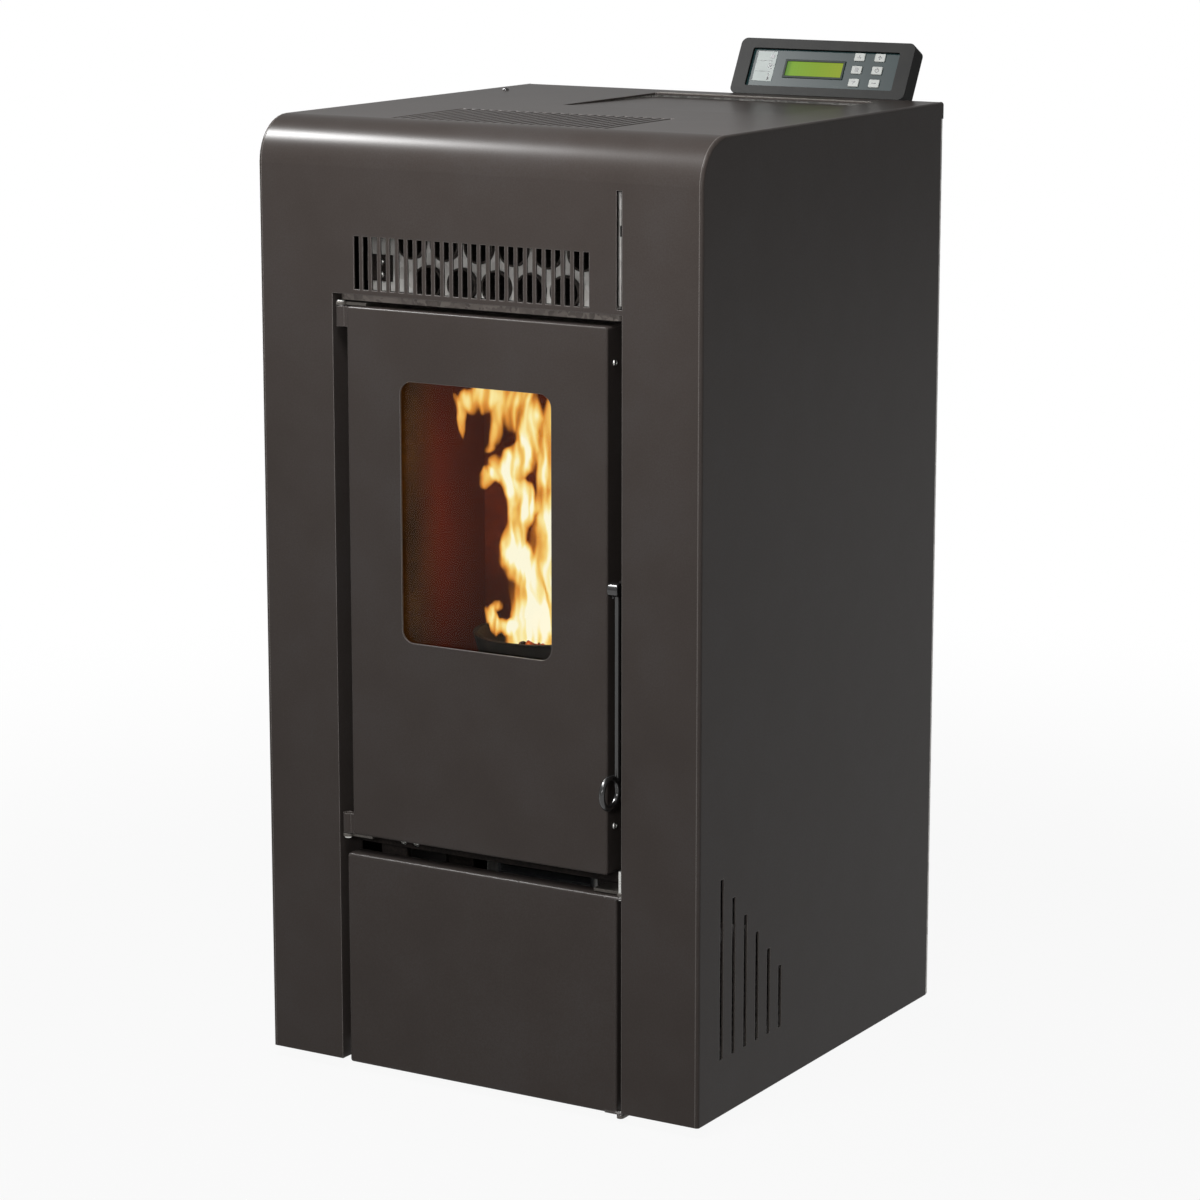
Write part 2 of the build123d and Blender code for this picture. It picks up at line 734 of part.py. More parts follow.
with BuildPart() as igniter:
    with BuildSketch(facing(box_back + igniter_plate)):
        with Locations((0, igniter_level)):
            Circle(igniter_size / 2)
    extrude(amount=box_back + igniter_plate - igniter_tip)
    with BuildSketch(facing(box_back + igniter_plate)):
        with Locations((0, igniter_level)):
            Circle(igniter_flange / 2)
    extrude(amount=igniter_plate)
save(igniter, "igniter")

drawer_floor = base + box_bottom + box_wall
drawer_front = box_front + 6.0
drawer_rear = box_back - box_wall - 10.0

with BuildPart() as ash_drawer:
    with BuildSketch(Plane.XY.offset(drawer_floor)):
        with Locations((0, (drawer_front + drawer_rear) / 2)):
            RectangleRounded(drawer_width, drawer_rear - drawer_front, 4)
    extrude(amount=drawer_height)
    offset(amount=-drawer_wall, openings=ash_drawer.faces().sort_by(Axis.Z)[-1])
    with BuildSketch(Plane.YZ):
        with BuildLine():
            grip_line = FilletPolyline(
                (drawer_front, drawer_floor + 60), (drawer_front - 8, drawer_floor + 60),
                (drawer_front - 8, drawer_floor + 46), radius=[3],
            )
            offset(grip_line, amount=drawer_wall, side=Side.RIGHT)
        make_face()
    extrude(amount=45, both=True)
save(ash_drawer, "ash_drawer")

# ================================================================ exchanger
tube_front = front + tube_plate_depth - tube_overhang
tube_rear = box_back + tube_overhang
plate_back = front + tube_plate_depth + tube_plate_thickness

with BuildPart() as exchanger_tubes:
    with BuildSketch(facing(tube_rear)):
        for level, count in ((tube_level, tubes_low), (tube_level + tube_row_gap, tubes_high)):
            with Locations((0, base + level)):
                with GridLocations(tube_pitch, 1, count, 1):
                    Circle(tube_size / 2)
                    Circle(tube_size / 2 - tube_wall, mode=Mode.SUBTRACT)
    extrude(amount=tube_rear - tube_front)
save(exchanger_tubes, "exchanger_tubes")

with BuildPart() as tube_plate:
    with BuildSketch(facing(plate_back)):
        with Locations((0, base + frame_top)):
            Rectangle(box_width + 16, tube_plate_top - frame_top, align=(Align.CENTER, Align.MIN))
        with Locations((0, base + tube_level)):
            with GridLocations(tube_pitch, 1, tubes_low, 1):
                Circle(tube_size / 2, mode=Mode.SUBTRACT)
        with Locations((0, base + tube_level + tube_row_gap)):
            with GridLocations(tube_pitch, 1, tubes_high, 1):
                Circle(tube_size / 2, mode=Mode.SUBTRACT)
    extrude(amount=tube_plate_thickness)
    # angle folded forward to stand behind the slit, beside the lever
    guide_right = scraper_left - guide_gap
    guide_left = guide_right - guide_width
    guide_low = base + slit_bottom + guide_inset
    guide_high = base + slit_top - guide_inset
    plate(guide_left, guide_left + guide_sheet, front + guide_depth, front + tube_plate_depth,
          guide_low, guide_high)
    plate(guide_left, guide_right, front + guide_depth, front + guide_depth + guide_sheet,
          guide_low, guide_high)
save(tube_plate, "tube_plate")

# ---- lever of the tube scrapers: turns on the stub beside the firebox, its end is in the slit
with BuildPart() as scraper_lever:
    with BuildSketch(from_left(scraper_left)):
        with Locations((front + 5, scraper_z)):
            Rectangle(scraper_pivot_depth - 5, scraper_height, align=(Align.MIN, Align.CENTER))
        with Locations((scraper_y, scraper_z)):
            Circle(scraper_boss / 2)
            Circle(scraper_pin / 2 + running_gap, mode=Mode.SUBTRACT)
    extrude(amount=scraper_thickness)
save(scraper_lever, "scraper_lever")

# ================================================================ smoke duct, exhaust blower, flue
duct_wall = 2.0
duct_front = front + smoke_duct_front
duct_rear = box_back
blower_y = front + blower_depth
blower_z = base + blower_level
smoke_rear = front + smoke_box_rear

with BuildPart() as smoke_duct:
    with BuildSketch(from_left(duct_left)):
        with BuildLine():
            Polyline(
                (duct_front, base + smoke_box_bottom), (duct_front, base + box_top),
                (duct_rear, base + box_top), (duct_rear, base + smoke_box_top),
                (smoke_rear, base + smoke_box_top), (smoke_rear, base + smoke_box_bottom),
                close=True,
            )
        make_face()
    extrude(amount=smoke_duct_width)
    with BuildSketch(from_left(duct_left + duct_wall)):
        with BuildLine():
            Polyline(
                (duct_front + duct_wall, base + smoke_box_bottom + duct_wall),
                (duct_front + duct_wall, base + box_top - duct_wall),
                (duct_rear - duct_wall, base + box_top - duct_wall),
                (duct_rear - duct_wall, base + smoke_box_top - duct_wall),
                (smoke_rear - duct_wall, base + smoke_box_top - duct_wall),
                (smoke_rear - duct_wall, base + smoke_box_bottom + duct_wall),
                close=True,
            )
        make_face()
    extrude(amount=smoke_duct_width - 2 * duct_wall, mode=Mode.SUBTRACT)
    plate(-box_half - duct_wall, -box_half, duct_front + duct_mouth_front,
          box_back - duct_mouth_rear, base + box_top - duct_mouth_drop - duct_mouth_height,
          base + box_top - duct_mouth_drop, mode=Mode.SUBTRACT)
    with BuildSketch(from_left(-box_half - duct_wall)):
        with Locations((blower_y, blower_z)):
            Circle(blower_inlet / 2)
    extrude(amount=duct_wall, mode=Mode.SUBTRACT)
save(smoke_duct, "smoke_duct")

outlet_rear = front + smoke_box_rear + 20
scroll_right = scroll_left + scroll_width
outlet_top = blower_z + scroll_radius

with BuildPart() as exhaust_blower_housing:
    with BuildSketch(from_left(scroll_left)):
        with Locations((blower_y, blower_z)):
            Circle(scroll_radius)
        with Locations((blower_y, outlet_top)):
            Rectangle(outlet_rear - blower_y, outlet_height + 2 * scroll_wall,
                      align=(Align.MIN, Align.MAX))
    extrude(amount=scroll_width)
    with BuildSketch(from_left(scroll_left + scroll_wall)):
        with Locations((blower_y, blower_z)):
            Circle(scroll_radius - scroll_wall)
        with Locations((blower_y, outlet_top - scroll_wall)):
            Rectangle(outlet_rear - blower_y, outlet_height, align=(Align.MIN, Align.MAX))
    extrude(amount=scroll_width - 2 * scroll_wall, mode=Mode.SUBTRACT)
    with BuildSketch(from_left(scroll_left)):
        with Locations((blower_y, blower_z)):
            Circle(blower_inlet / 2)
    extrude(amount=scroll_wall, mode=Mode.SUBTRACT)
    with BuildSketch(from_left(scroll_right - scroll_wall)):
        with Locations((blower_y, blower_z)):
            Circle(motor_shaft)
    extrude(amount=scroll_wall, mode=Mode.SUBTRACT)
    # mounting foot on the base tray
    plate(scroll_left + 10, scroll_right - 10, blower_y - 30, blower_y + 30,
          tray_under + sheet, tray_under + 2 * sheet)
    for foot_y in (blower_y - 30, blower_y + 30 - sheet):
        plate(scroll_left + 10, scroll_right - 10, foot_y, foot_y + sheet,
              tray_under + sheet, blower_z - scroll_radius + 10)
    with Locations(((scroll_left + scroll_right) / 2, blower_y, blower_z)):
        Cylinder(scroll_radius - scroll_wall, scroll_width - 2 * scroll_wall,
                 rotation=(0, 90, 0), mode=Mode.SUBTRACT)
save(exhaust_blower_housing, "exhaust_blower_housing")

impeller_left = scroll_left + scroll_wall + 12
impeller_right = impeller_left + impeller_width
impeller_plate = 2.0
impeller_hub = 24.0
smoke_motor_end = scroll_right + smoke_motor_length

with BuildPart() as exhaust_impeller:
    with BuildSketch(from_left(impeller_right - impeller_plate)):
        with Locations((blower_y, blower_z)):
            Circle(impeller_size / 2)
    extrude(amount=impeller_plate)
    with BuildSketch(from_left(impeller_left)):
        with Locations((blower_y, blower_z)):
            with PolarLocations(impeller_size * 0.34, impeller_blades):
                Rectangle(impeller_size * 0.3, impeller_plate, rotation=25)
            Circle(impeller_hub / 2)
    extrude(amount=impeller_width - impeller_plate)
    with BuildSketch(from_left(impeller_right)):
        with Locations((blower_y, blower_z)):
            Circle(motor_shaft / 2)
    extrude(amount=scroll_right + smoke_motor_length * 0.8 - impeller_right)
save(exhaust_impeller, "exhaust_impeller")

motor_fins = 3
fin_pitch = 12.0

with BuildPart() as exhaust_motor:
    with BuildSketch(from_left(scroll_right)):
        with Locations((blower_y, blower_z)):
            Circle(smoke_motor_size / 2)
    extrude(amount=smoke_motor_length)
    chamfer(exhaust_motor.edges().group_by(Axis.X)[-1], 4)
    for number in range(motor_fins):
        fin_x = scroll_right + 8 + number * fin_pitch
        with BuildSketch(from_left(fin_x)):
            with Locations((blower_y, blower_z)):
                Circle(smoke_motor_size / 2)
                Circle(smoke_motor_size / 2 - 4, mode=Mode.SUBTRACT)
        extrude(amount=2.5, mode=Mode.SUBTRACT)
    with BuildSketch(from_left(scroll_right)):
        with Locations((blower_y, blower_z)):
            Circle(motor_shaft / 2 + running_gap)
    extrude(amount=smoke_motor_length * 0.85, mode=Mode.SUBTRACT)
save(exhaust_motor, "exhaust_motor")

flue_z = base + flue_level
flange_thickness = 4.0

with BuildPart() as flue_spigot:
    with BuildSketch(facing(outlet_rear + flange_thickness)):
        with Locations((flue_x, flue_z)):
            RectangleRounded(flue_flange, flue_flange, 6)
            Circle(flue_size / 2 - flue_wall, mode=Mode.SUBTRACT)
    extrude(amount=flange_thickness)
    with BuildSketch(facing(rear + flue_reach)):
        with Locations((flue_x, flue_z)):
            Circle(flue_size / 2)
            Circle(flue_size / 2 - flue_wall, mode=Mode.SUBTRACT)
    extrude(amount=rear + flue_reach - outlet_rear - flange_thickness)
    with BuildSketch(facing(rear + stop_bead_length)):
        with Locations((flue_x, flue_z)):
            Circle(flue_size / 2 + stop_bead)
            Circle(flue_size / 2 - flue_wall / 2, mode=Mode.SUBTRACT)
    extrude(amount=stop_bead_length)
save(flue_spigot, "flue_spigot")

intake_z = base + intake_level
intake_floor = base + box_bottom

with BuildPart() as air_intake_pipe:
    with BuildLine(from_left(intake_x)) as intake_path:
        FilletPolyline(
            (rear + intake_reach, intake_z), (front + intake_riser_depth, intake_z),
            (front + intake_riser_depth, intake_floor), radius=[intake_bend],
        )
    with BuildSketch(facing(rear + intake_reach)):
        with Locations((intake_x, intake_z)):
            Circle(intake_size / 2)
            Circle(intake_size / 2 - intake_wall, mode=Mode.SUBTRACT)
    sweep(path=intake_path.line)
    with BuildSketch(facing(rear + stop_bead_length)):
        with Locations((intake_x, intake_z)):
            Circle(intake_size / 2 + stop_bead)
            Circle(intake_size / 2 - intake_wall / 2, mode=Mode.SUBTRACT)
    extrude(amount=stop_bead_length)
save(air_intake_pipe, "air_intake_pipe")

# ================================================================ room air fan and its duct
fan_y = box_back + duct_depth / 2 + 1
fan_z = base + fan_level
duct_half = duct_width / 2
duct_back = box_back + duct_depth
fan_inlet_low = -150.0
fan_end = duct_half - 6.0
fan_disc = 3.0
fan_blade_chord = 7.0
fan_blade_thickness = 1.0

with BuildPart() as room_fan_housing:
    with BuildSketch(from_left(-duct_half)):
        with BuildLine():
            scroll_curve = CenterArc((fan_y, fan_z), fan_scroll, fan_inlet_low, -fan_inlet_low)
            riser = Polyline(scroll_curve @ 1, (fan_y + fan_scroll, fan_z + duct_step),
                             (duct_back, fan_z + duct_fall), (duct_back, base + box_top),
                             (box_back, base + box_top))
            offset(Wire([scroll_curve, *riser.edges()]), amount=duct_sheet, side=Side.LEFT)
        make_face()
    extrude(amount=duct_width)
    for end_x in (-duct_half, duct_half - duct_sheet):
        with BuildSketch(from_left(end_x)):
            with Locations((fan_y, fan_z)):
                Circle(fan_scroll)
            with BuildLine():
                Polyline((box_back, base + box_bottom), (box_back, base + box_top),
                         (duct_back, base + box_top), (duct_back, fan_z + duct_fall),
                         (fan_y + fan_scroll, fan_z + duct_step), (fan_y, fan_z), close=True)
            make_face()
            with Locations((fan_y, fan_z)):
                Circle(fan_shaft / 2 + running_gap, mode=Mode.SUBTRACT)
        extrude(amount=duct_sheet)
    with BuildSketch(facing(duct_back)):
        with Locations((0, base + chute_level_at(box_rear + duct_depth))):
            Rectangle(chute_size + 2 * rub_gap, chute_hole + 4 * duct_sheet)
    extrude(amount=2 * duct_sheet, mode=Mode.SUBTRACT)
save(room_fan_housing, "room_fan_housing")

with BuildPart() as room_fan_rotor:
    with BuildSketch(from_left(-fan_end)):
        with Locations((fan_y, fan_z)):
            with PolarLocations((fan_size - fan_blade_chord) / 2 - 0.5, fan_blades):
                Rectangle(fan_blade_chord, fan_blade_thickness, rotation=35)
    extrude(amount=2 * fan_end)
    for disc_x in (-fan_end, -fan_disc / 2, fan_end - fan_disc):
        with BuildSketch(from_left(disc_x)):
            with Locations((fan_y, fan_z)):
                Circle(fan_size / 2)
        extrude(amount=fan_disc)
    with BuildSketch(from_left(-duct_half - 4)):
        with Locations((fan_y, fan_z)):
            Circle(fan_shaft / 2)
    extrude(amount=2 * duct_half + 4 + fan_motor_length * 0.7)
save(room_fan_rotor, "room_fan_rotor")

with BuildPart() as room_fan_motor:
    with BuildSketch(from_left(duct_half)):
        with Locations((fan_y, fan_z)):
            RectangleRounded(fan_motor_size, fan_motor_size, 8)
    extrude(amount=8)
    with BuildSketch(from_left(duct_half + 8)):
        with Locations((fan_y, fan_z)):
            Circle(fan_motor_size / 2 - 4)
    extrude(amount=fan_motor_length - 8)
    with BuildSketch(from_left(duct_half)):
        with Locations((fan_y, fan_z)):
            Circle(fan_shaft / 2 + running_gap)
    extrude(amount=fan_motor_length * 0.75, mode=Mode.SUBTRACT)
save(room_fan_motor, "room_fan_motor")

# ================================================================ hopper
rim_level = top - hopper_rim_drop
hopper_x0 = lid_left + hopper_inset
hopper_x1 = lid_right - hopper_inset
hopper_y0 = front + lid_front + hopper_inset
hopper_y1 = front + lid_back - hopper_inset
hopper_mid = ((hopper_x0 + hopper_x1) / 2, (hopper_y0 + hopper_y1) / 2)
hopper_size = (hopper_x1 - hopper_x0, hopper_y1 - hopper_y0)
funnel_top = rim_level - hopper_straight
outlet_y = front + hopper_outlet_depth
auger_slope = tan(radians(auger_angle))


def auger_level_at(depth):
    """Height of the auger's axis at a depth behind the front face."""
    return auger_low_level + (auger_low_depth - depth) * auger_slope


lid_axis_y = front + lid_back - lid_gap - lid_axis_inset
lid_axis_z = top - lid_sunk - lid_fall - sheet - lid_knuckle / 2 + fit_gap
lid_knuckle_length = 20.0
knuckle_places = (lid_left + 40, lid_right - 40)
ear_thickness = 2.0
ear_radius = 2.0
ear_places = [x + hand * (lid_knuckle_length / 2 + fit_gap + ear_thickness / 2)
              for x in knuckle_places for hand in (-1, 1)]
neck_front = hopper_outlet_depth - hopper_outlet / 2
tube_half_height = auger_tube_size / 2 / cos(radians(auger_angle))
neck_bottom = base + auger_level_at(neck_front) + tube_half_height + 1
neck_length = neck_bottom - base - auger_level_at(hopper_outlet_depth)
funnel_bottom = neck_bottom + hopper_neck

with BuildPart() as pellet_hopper:
    with BuildSketch(Plane.XY.offset(funnel_top)):
        with Locations(hopper_mid):
            Rectangle(*hopper_size)
    extrude(amount=hopper_straight)
    with BuildSketch(Plane.XY.offset(funnel_top)):
        with Locations(hopper_mid):
            Rectangle(*hopper_size)
    with BuildSketch(Plane.XY.offset(funnel_bottom)):
        with Locations((0, outlet_y)):
            Rectangle(hopper_outlet, hopper_outlet)
    loft(ruled=True)
    with BuildSketch(Plane.XY.offset(funnel_bottom)):
        with Locations((0, outlet_y)):
            Rectangle(hopper_outlet, hopper_outlet)
    extrude(amount=-(hopper_neck))
    open_ends = [pellet_hopper.faces().sort_by(Axis.Z)[0], pellet_hopper.faces().sort_by(Axis.Z)[-1]]
    offset(amount=-hopper_sheet, openings=open_ends)
    with BuildSketch(Plane.XY.offset(rim_level - hopper_sheet)):
        with Locations(hopper_mid):
            Rectangle(hopper_size[0] + 2 * hopper_rim, hopper_size[1] + 2 * hopper_rim)
            Rectangle(hopper_size[0] - hopper_sheet, hopper_size[1] - hopper_sheet, mode=Mode.SUBTRACT)
    extrude(amount=hopper_sheet)
    with BuildSketch(Plane.XY.offset(rim_level)):
        with Locations(hopper_mid):
            Rectangle(hopper_size[0] + 2 * hopper_rim, hopper_size[1] + 2 * hopper_rim)
            Rectangle(hopper_size[0] + 2 * (hopper_rim - hopper_sheet),
                      hopper_size[1] + 2 * (hopper_rim - hopper_sheet), mode=Mode.SUBTRACT)
    extrude(amount=hopper_rim_drop - sheet)
    # ears of the lid's hinge, with bores for its pins
    for ear_x in ear_places:
        with BuildSketch(from_left(ear_x - ear_thickness / 2)):
            with Locations((lid_axis_y, lid_axis_z)):
                Circle(ear_radius)
            with Locations((lid_axis_y, lid_axis_z)):
                Rectangle(2 * ear_radius, lid_axis_z - rim_level + hopper_sheet / 2,
                          align=(Align.CENTER, Align.MAX))
            with Locations((lid_axis_y, lid_axis_z)):
                Circle(lid_pin_size / 2, mode=Mode.SUBTRACT)
        extrude(amount=ear_thickness)
save(pellet_hopper, "pellet_hopper")

grid_bars = 6

with BuildPart() as hopper_grid:
    with BuildSketch(Plane.XY.offset(base + grid_level)):
        with Locations(hopper_mid):
            Rectangle(hopper_size[0] - 2 * hopper_sheet, hopper_size[1] - 2 * hopper_sheet)
            Rectangle(hopper_size[0] - 2 * hopper_sheet - 2 * grid_wire,
                      hopper_size[1] - 2 * hopper_sheet - 2 * grid_wire, mode=Mode.SUBTRACT)
            with GridLocations(hopper_size[0] / grid_bars, 1, grid_bars - 1, 1):
                Rectangle(grid_wire, hopper_size[1] - 2 * hopper_sheet - grid_wire)
    extrude(amount=grid_wire)
save(hopper_grid, "hopper_grid")

# ================================================================ auger
auger_length = hypot(auger_low_depth - auger_high_depth, auger_rise)
auger_low = (0, front + auger_low_depth, base + auger_low_level)
auger_up = (0, -cos(radians(auger_angle)), sin(radians(auger_angle)))
auger_plane = Plane(origin=auger_low, x_dir=(1, 0, 0), z_dir=auger_up)
chute_start = (0, front + auger_high_depth, base + chute_start_level)
chute_down = (0, -cos(radians(chute_slope)), -sin(radians(chute_slope)))
chute_plane = Plane(origin=chute_start, x_dir=(1, 0, 0), z_dir=chute_down)
chute_length = (auger_high_depth - chute_end_depth) / cos(radians(chute_slope))
tube_bore = auger_tube_size / 2 - auger_tube_wall
flight_radius = tube_bore - wall_gap
end_plate = 4.0

with BuildPart() as auger_tube:
    with BuildSketch(auger_plane):
        Circle(auger_tube_size / 2)
    extrude(amount=auger_length)
    with BuildSketch(chute_plane):
        Rectangle(chute_size, chute_size)
    extrude(amount=chute_length)
    with BuildSketch(Plane.XY.offset(neck_bottom)):
        with Locations((0, outlet_y)):
            Rectangle(hopper_outlet, hopper_outlet)
    extrude(amount=-neck_length)
    # flange on the outside of the firebox's rear wall
    with BuildSketch(facing(box_back + sheet)):
        with Locations((0, base + chute_level_at(box_rear))):
            Rectangle(chute_size + 24, chute_hole + 30)
    extrude(amount=sheet)
    # bores of the tube, the chute and the neck
    with BuildSketch(auger_plane.offset(end_plate)):
        Circle(tube_bore)
    extrude(amount=auger_length - 2 * end_plate, mode=Mode.SUBTRACT)
    with BuildSketch(chute_plane.offset(2)):
        Rectangle(chute_size - 2 * auger_tube_wall, chute_size - 2 * auger_tube_wall)
    extrude(amount=chute_length, mode=Mode.SUBTRACT)
    with BuildSketch(Plane.XY.offset(neck_bottom)):
        with Locations((0, outlet_y)):
            Rectangle(hopper_outlet - 2 * auger_tube_wall, hopper_outlet - 2 * auger_tube_wall)
    extrude(amount=-neck_length, mode=Mode.SUBTRACT)
    with BuildSketch(auger_plane):
        Circle(auger_core / 2 + running_gap)
    extrude(amount=auger_length, mode=Mode.SUBTRACT)
save(auger_tube, "auger_tube")

flight_length = auger_length - 2 * end_plate - 2 * wall_gap
shaft_stub = gearbox_length * 0.8
flight_plane = auger_plane.offset(end_plate + wall_gap + flight_thickness)

with BuildPart() as auger_screw:
    with BuildLine(flight_plane) as flight_path:
        Helix(auger_pitch, flight_length - 2 * flight_thickness, auger_core / 2,
              direction=auger_up)
    flight_start = Plane(
        origin=flight_path.line @ 0,
        x_dir=flight_path.line @ 0 - flight_plane.origin,
        z_dir=flight_path.line % 0,
    )
    with BuildSketch(flight_start):
        with Locations(((flight_radius - auger_core / 2) / 2 - 1, 0)):
            Rectangle(flight_radius - auger_core / 2 + 2, flight_thickness)
    sweep(path=flight_path.line, is_frenet=True)
    with BuildSketch(auger_plane.offset(-shaft_stub)):
        Circle(auger_core / 2)
    extrude(amount=auger_length + shaft_stub + rub_gap)
save(auger_screw, "auger_screw")

with BuildPart() as auger_gearmotor:
    with BuildSketch(auger_plane):
        RectangleRounded(gearbox_size, gearbox_size * 0.8, 6)
    extrude(amount=-gearbox_length)
    with BuildSketch(auger_plane.offset(-gearbox_length)):
        RectangleRounded(gear_motor_size, gear_motor_size, 4)
    extrude(amount=-gear_motor_length)
    with BuildSketch(auger_plane):
        Circle(auger_core / 2 + running_gap)
    extrude(amount=-gearbox_length * 0.9, mode=Mode.SUBTRACT)
save(auger_gearmotor, "auger_gearmotor")

# ================================================================ hopper lid
lid_span_x = lid_right - lid_left - 2 * lid_gap
lid_span_y = lid_back - lid_front - 2 * lid_gap
lid_tilt = degrees(atan2(lid_fall, lid_span_y))
lid_middle = ((lid_left + lid_right) / 2, front + (lid_front + lid_back) / 2)
lid_plane = Plane(
    origin=(lid_middle[0], lid_middle[1], top - lid_sunk - lid_fall / 2),
    x_dir=(1, 0, 0), z_dir=(0, sin(radians(lid_tilt)), cos(radians(lid_tilt))),
)

with BuildPart() as hopper_lid:
    with BuildSketch(lid_plane):
        RectangleRounded(lid_span_x, lid_span_y, 3)
    extrude(amount=-sheet)
    with BuildSketch(from_left(0)) as knuckle_profile:
        with Locations((lid_axis_y, lid_axis_z)):
            Circle(lid_knuckle / 2)
        with Locations((lid_axis_y - lid_knuckle / 4, lid_axis_z)):
            Rectangle(lid_knuckle / 2, lid_knuckle / 2 + 0.6, align=(Align.CENTER, Align.MIN))
        with Locations((lid_axis_y, lid_axis_z)):
            Circle(lid_pin_size / 2 + running_gap, mode=Mode.SUBTRACT)
    for place in knuckle_places:
        with Locations((place - lid_knuckle_length / 2, 0, 0)):
            add(extrude(knuckle_profile.sketch, lid_knuckle_length, dir=(1, 0, 0), mode=Mode.PRIVATE))
save(hopper_lid, "hopper_lid")

seal_outer = (lid_span_x - 2 * lid_seal_inset, lid_span_y - 2 * lid_seal_inset)
lid_under = lid_plane.offset(-sheet)

with BuildPart() as lid_seal_strip:
    with BuildSketch(lid_under):
        Rectangle(*seal_outer)
        Rectangle(seal_outer[0] - 2 * lid_seal, seal_outer[1] - 2 * lid_seal, mode=Mode.SUBTRACT)
    extrude(amount=-hopper_rim_drop)
    split(bisect_by=Plane.XY.offset(rim_level + fit_gap), keep=Keep.TOP)
save(lid_seal_strip, "lid_seal_strip")

# ================================================================ fire door
door_half = door_width / 2
door_back = front + door_fold
door_middle_z = base + (door_bottom + door_top) / 2
door_height = door_top - door_bottom
window_middle_z = base + (window_bottom + window_top) / 2
window_height = window_top - window_bottom
door_axis_x = -recess + door_axis_inset
door_axis_y = front + door_axis_depth
knuckle_levels = (door_bottom + rub_gap, door_top - rub_gap - knuckle_length)
handle_x = door_half + rod_side_gap
handle_y = front + rod_depth
handle_z = base + handle_level
boss_length = 6.0
boss_size = 18.0

with BuildPart() as door_panel:
    with BuildSketch(facing(door_back)):
        with Locations((0, door_middle_z)):
            Rectangle(door_width, door_height)
    extrude(amount=door_fold)
    fillet(door_panel.edges().filter_by(Axis.Y), edge_radius)
    fillet(door_panel.faces().sort_by(Axis.Y)[0].edges(), edge_radius - 0.5)
    offset(amount=-sheet, openings=door_panel.faces().sort_by(Axis.Y)[-1])
    with BuildSketch(facing(front + sheet)):
        with Locations((0, window_middle_z)):
            RectangleRounded(window_width, window_height, window_radius)
    extrude(amount=sheet, mode=Mode.SUBTRACT)
    # hinge knuckles with their tabs
    for level in knuckle_levels:
        with BuildSketch(Plane.XY.offset(base + level)):
            with Locations((door_axis_x, door_axis_y)):
                Circle(knuckle_size / 2)
            with Locations((door_axis_x, door_axis_y)):
                Rectangle(-door_half - door_axis_x, 6, align=(Align.MIN, Align.CENTER))
            with Locations((door_axis_x, door_axis_y)):
                Circle(hinge_pin_size / 2 + running_gap, mode=Mode.SUBTRACT)
        extrude(amount=knuckle_length)
    # bearing boss of the handle inside the right fold
    with BuildSketch(from_left(door_half - sheet - boss_length)):
        with Locations((handle_y + 2, handle_z)):
            Rectangle(boss_size - 4, boss_size)
    extrude(amount=boss_length)
    with BuildSketch(from_left(door_half - sheet - boss_length)):
        with Locations((handle_y, handle_z)):
            Circle(pivot_size / 2 + running_gap)
    extrude(amount=boss_length + sheet, mode=Mode.SUBTRACT)
save(door_panel, "door_panel")

rope_half_x = door_half - sheet - rope_inset
rope_half_z = door_height / 2 - sheet - rope_inset
groove = rope_size / 2 + 1.0
frame_back = door_back - 3.0

with BuildPart() as door_inner_frame:
    with BuildSketch(facing(frame_back)):
        with Locations((0, door_middle_z)):
            RectangleRounded(door_width - 2 * sheet, door_height - 2 * sheet, edge_radius - sheet)
            Rectangle(2 * (rope_half_x - groove), 2 * (rope_half_z - groove), mode=Mode.SUBTRACT)
    extrude(amount=frame_plate)
    with BuildSketch(facing(frame_back + rope_groove_depth)):
        with Locations((0, door_middle_z)):
            Rectangle(2 * (rope_half_x + groove), 2 * (rope_half_z + groove))
            Rectangle(2 * (rope_half_x + groove - frame_plate), 2 * (rope_half_z + groove - frame_plate),
                      mode=Mode.SUBTRACT)
            Rectangle(2 * (rope_half_x - groove + frame_plate), 2 * (rope_half_z - groove + frame_plate))
            Rectangle(2 * (rope_half_x - groove), 2 * (rope_half_z - groove), mode=Mode.SUBTRACT)
    extrude(amount=rope_groove_depth)
    # room for the handle's boss and shaft
    plate(door_half - sheet - boss_length - 8, door_half, handle_y - boss_size, frame_back,
          handle_z - boss_size, handle_z + boss_size, mode=Mode.SUBTRACT)
save(door_inner_frame, "door_inner_frame")

rope_wide = rope_size - 2 * (frame_plate - 1.0)

with BuildPart() as door_rope_gasket:
    with BuildSketch(facing(frame_front - seal_gap)):
        with Locations((0, door_middle_z)):
            RectangleRounded(2 * rope_half_x + rope_wide, 2 * rope_half_z + rope_wide, 9)
            Rectangle(2 * rope_half_x - rope_wide, 2 * rope_half_z - rope_wide, mode=Mode.SUBTRACT)
    extrude(amount=frame_front - seal_gap - frame_back)
    fillet(door_rope_gasket.edges().group_by(Axis.Y)[-1], 4)
save(door_rope_gasket, "door_rope_gasket")

glass_front = front + sheet + gasket_tape
glass_back = glass_front + glass_thickness

with BuildPart() as glass_gasket:
    with BuildSketch(facing(glass_front)):
        with Locations((0, window_middle_z)):
            Rectangle(window_width + 2 * glass_lap, window_height + 2 * glass_lap)
            Rectangle(window_width + 2 * (glass_lap - tape_width),
                      window_height + 2 * (glass_lap - tape_width), mode=Mode.SUBTRACT)
    extrude(amount=gasket_tape)
save(glass_gasket, "glass_gasket")

with BuildPart() as door_glass:
    with BuildSketch(facing(glass_back)):
        with Locations((0, window_middle_z)):
            Rectangle(window_width + 2 * glass_lap, window_height + 2 * glass_lap)
    extrude(amount=glass_thickness)
    chamfer(door_glass.edges().filter_by(Axis.Y), 2)
save(door_glass, "door_glass")

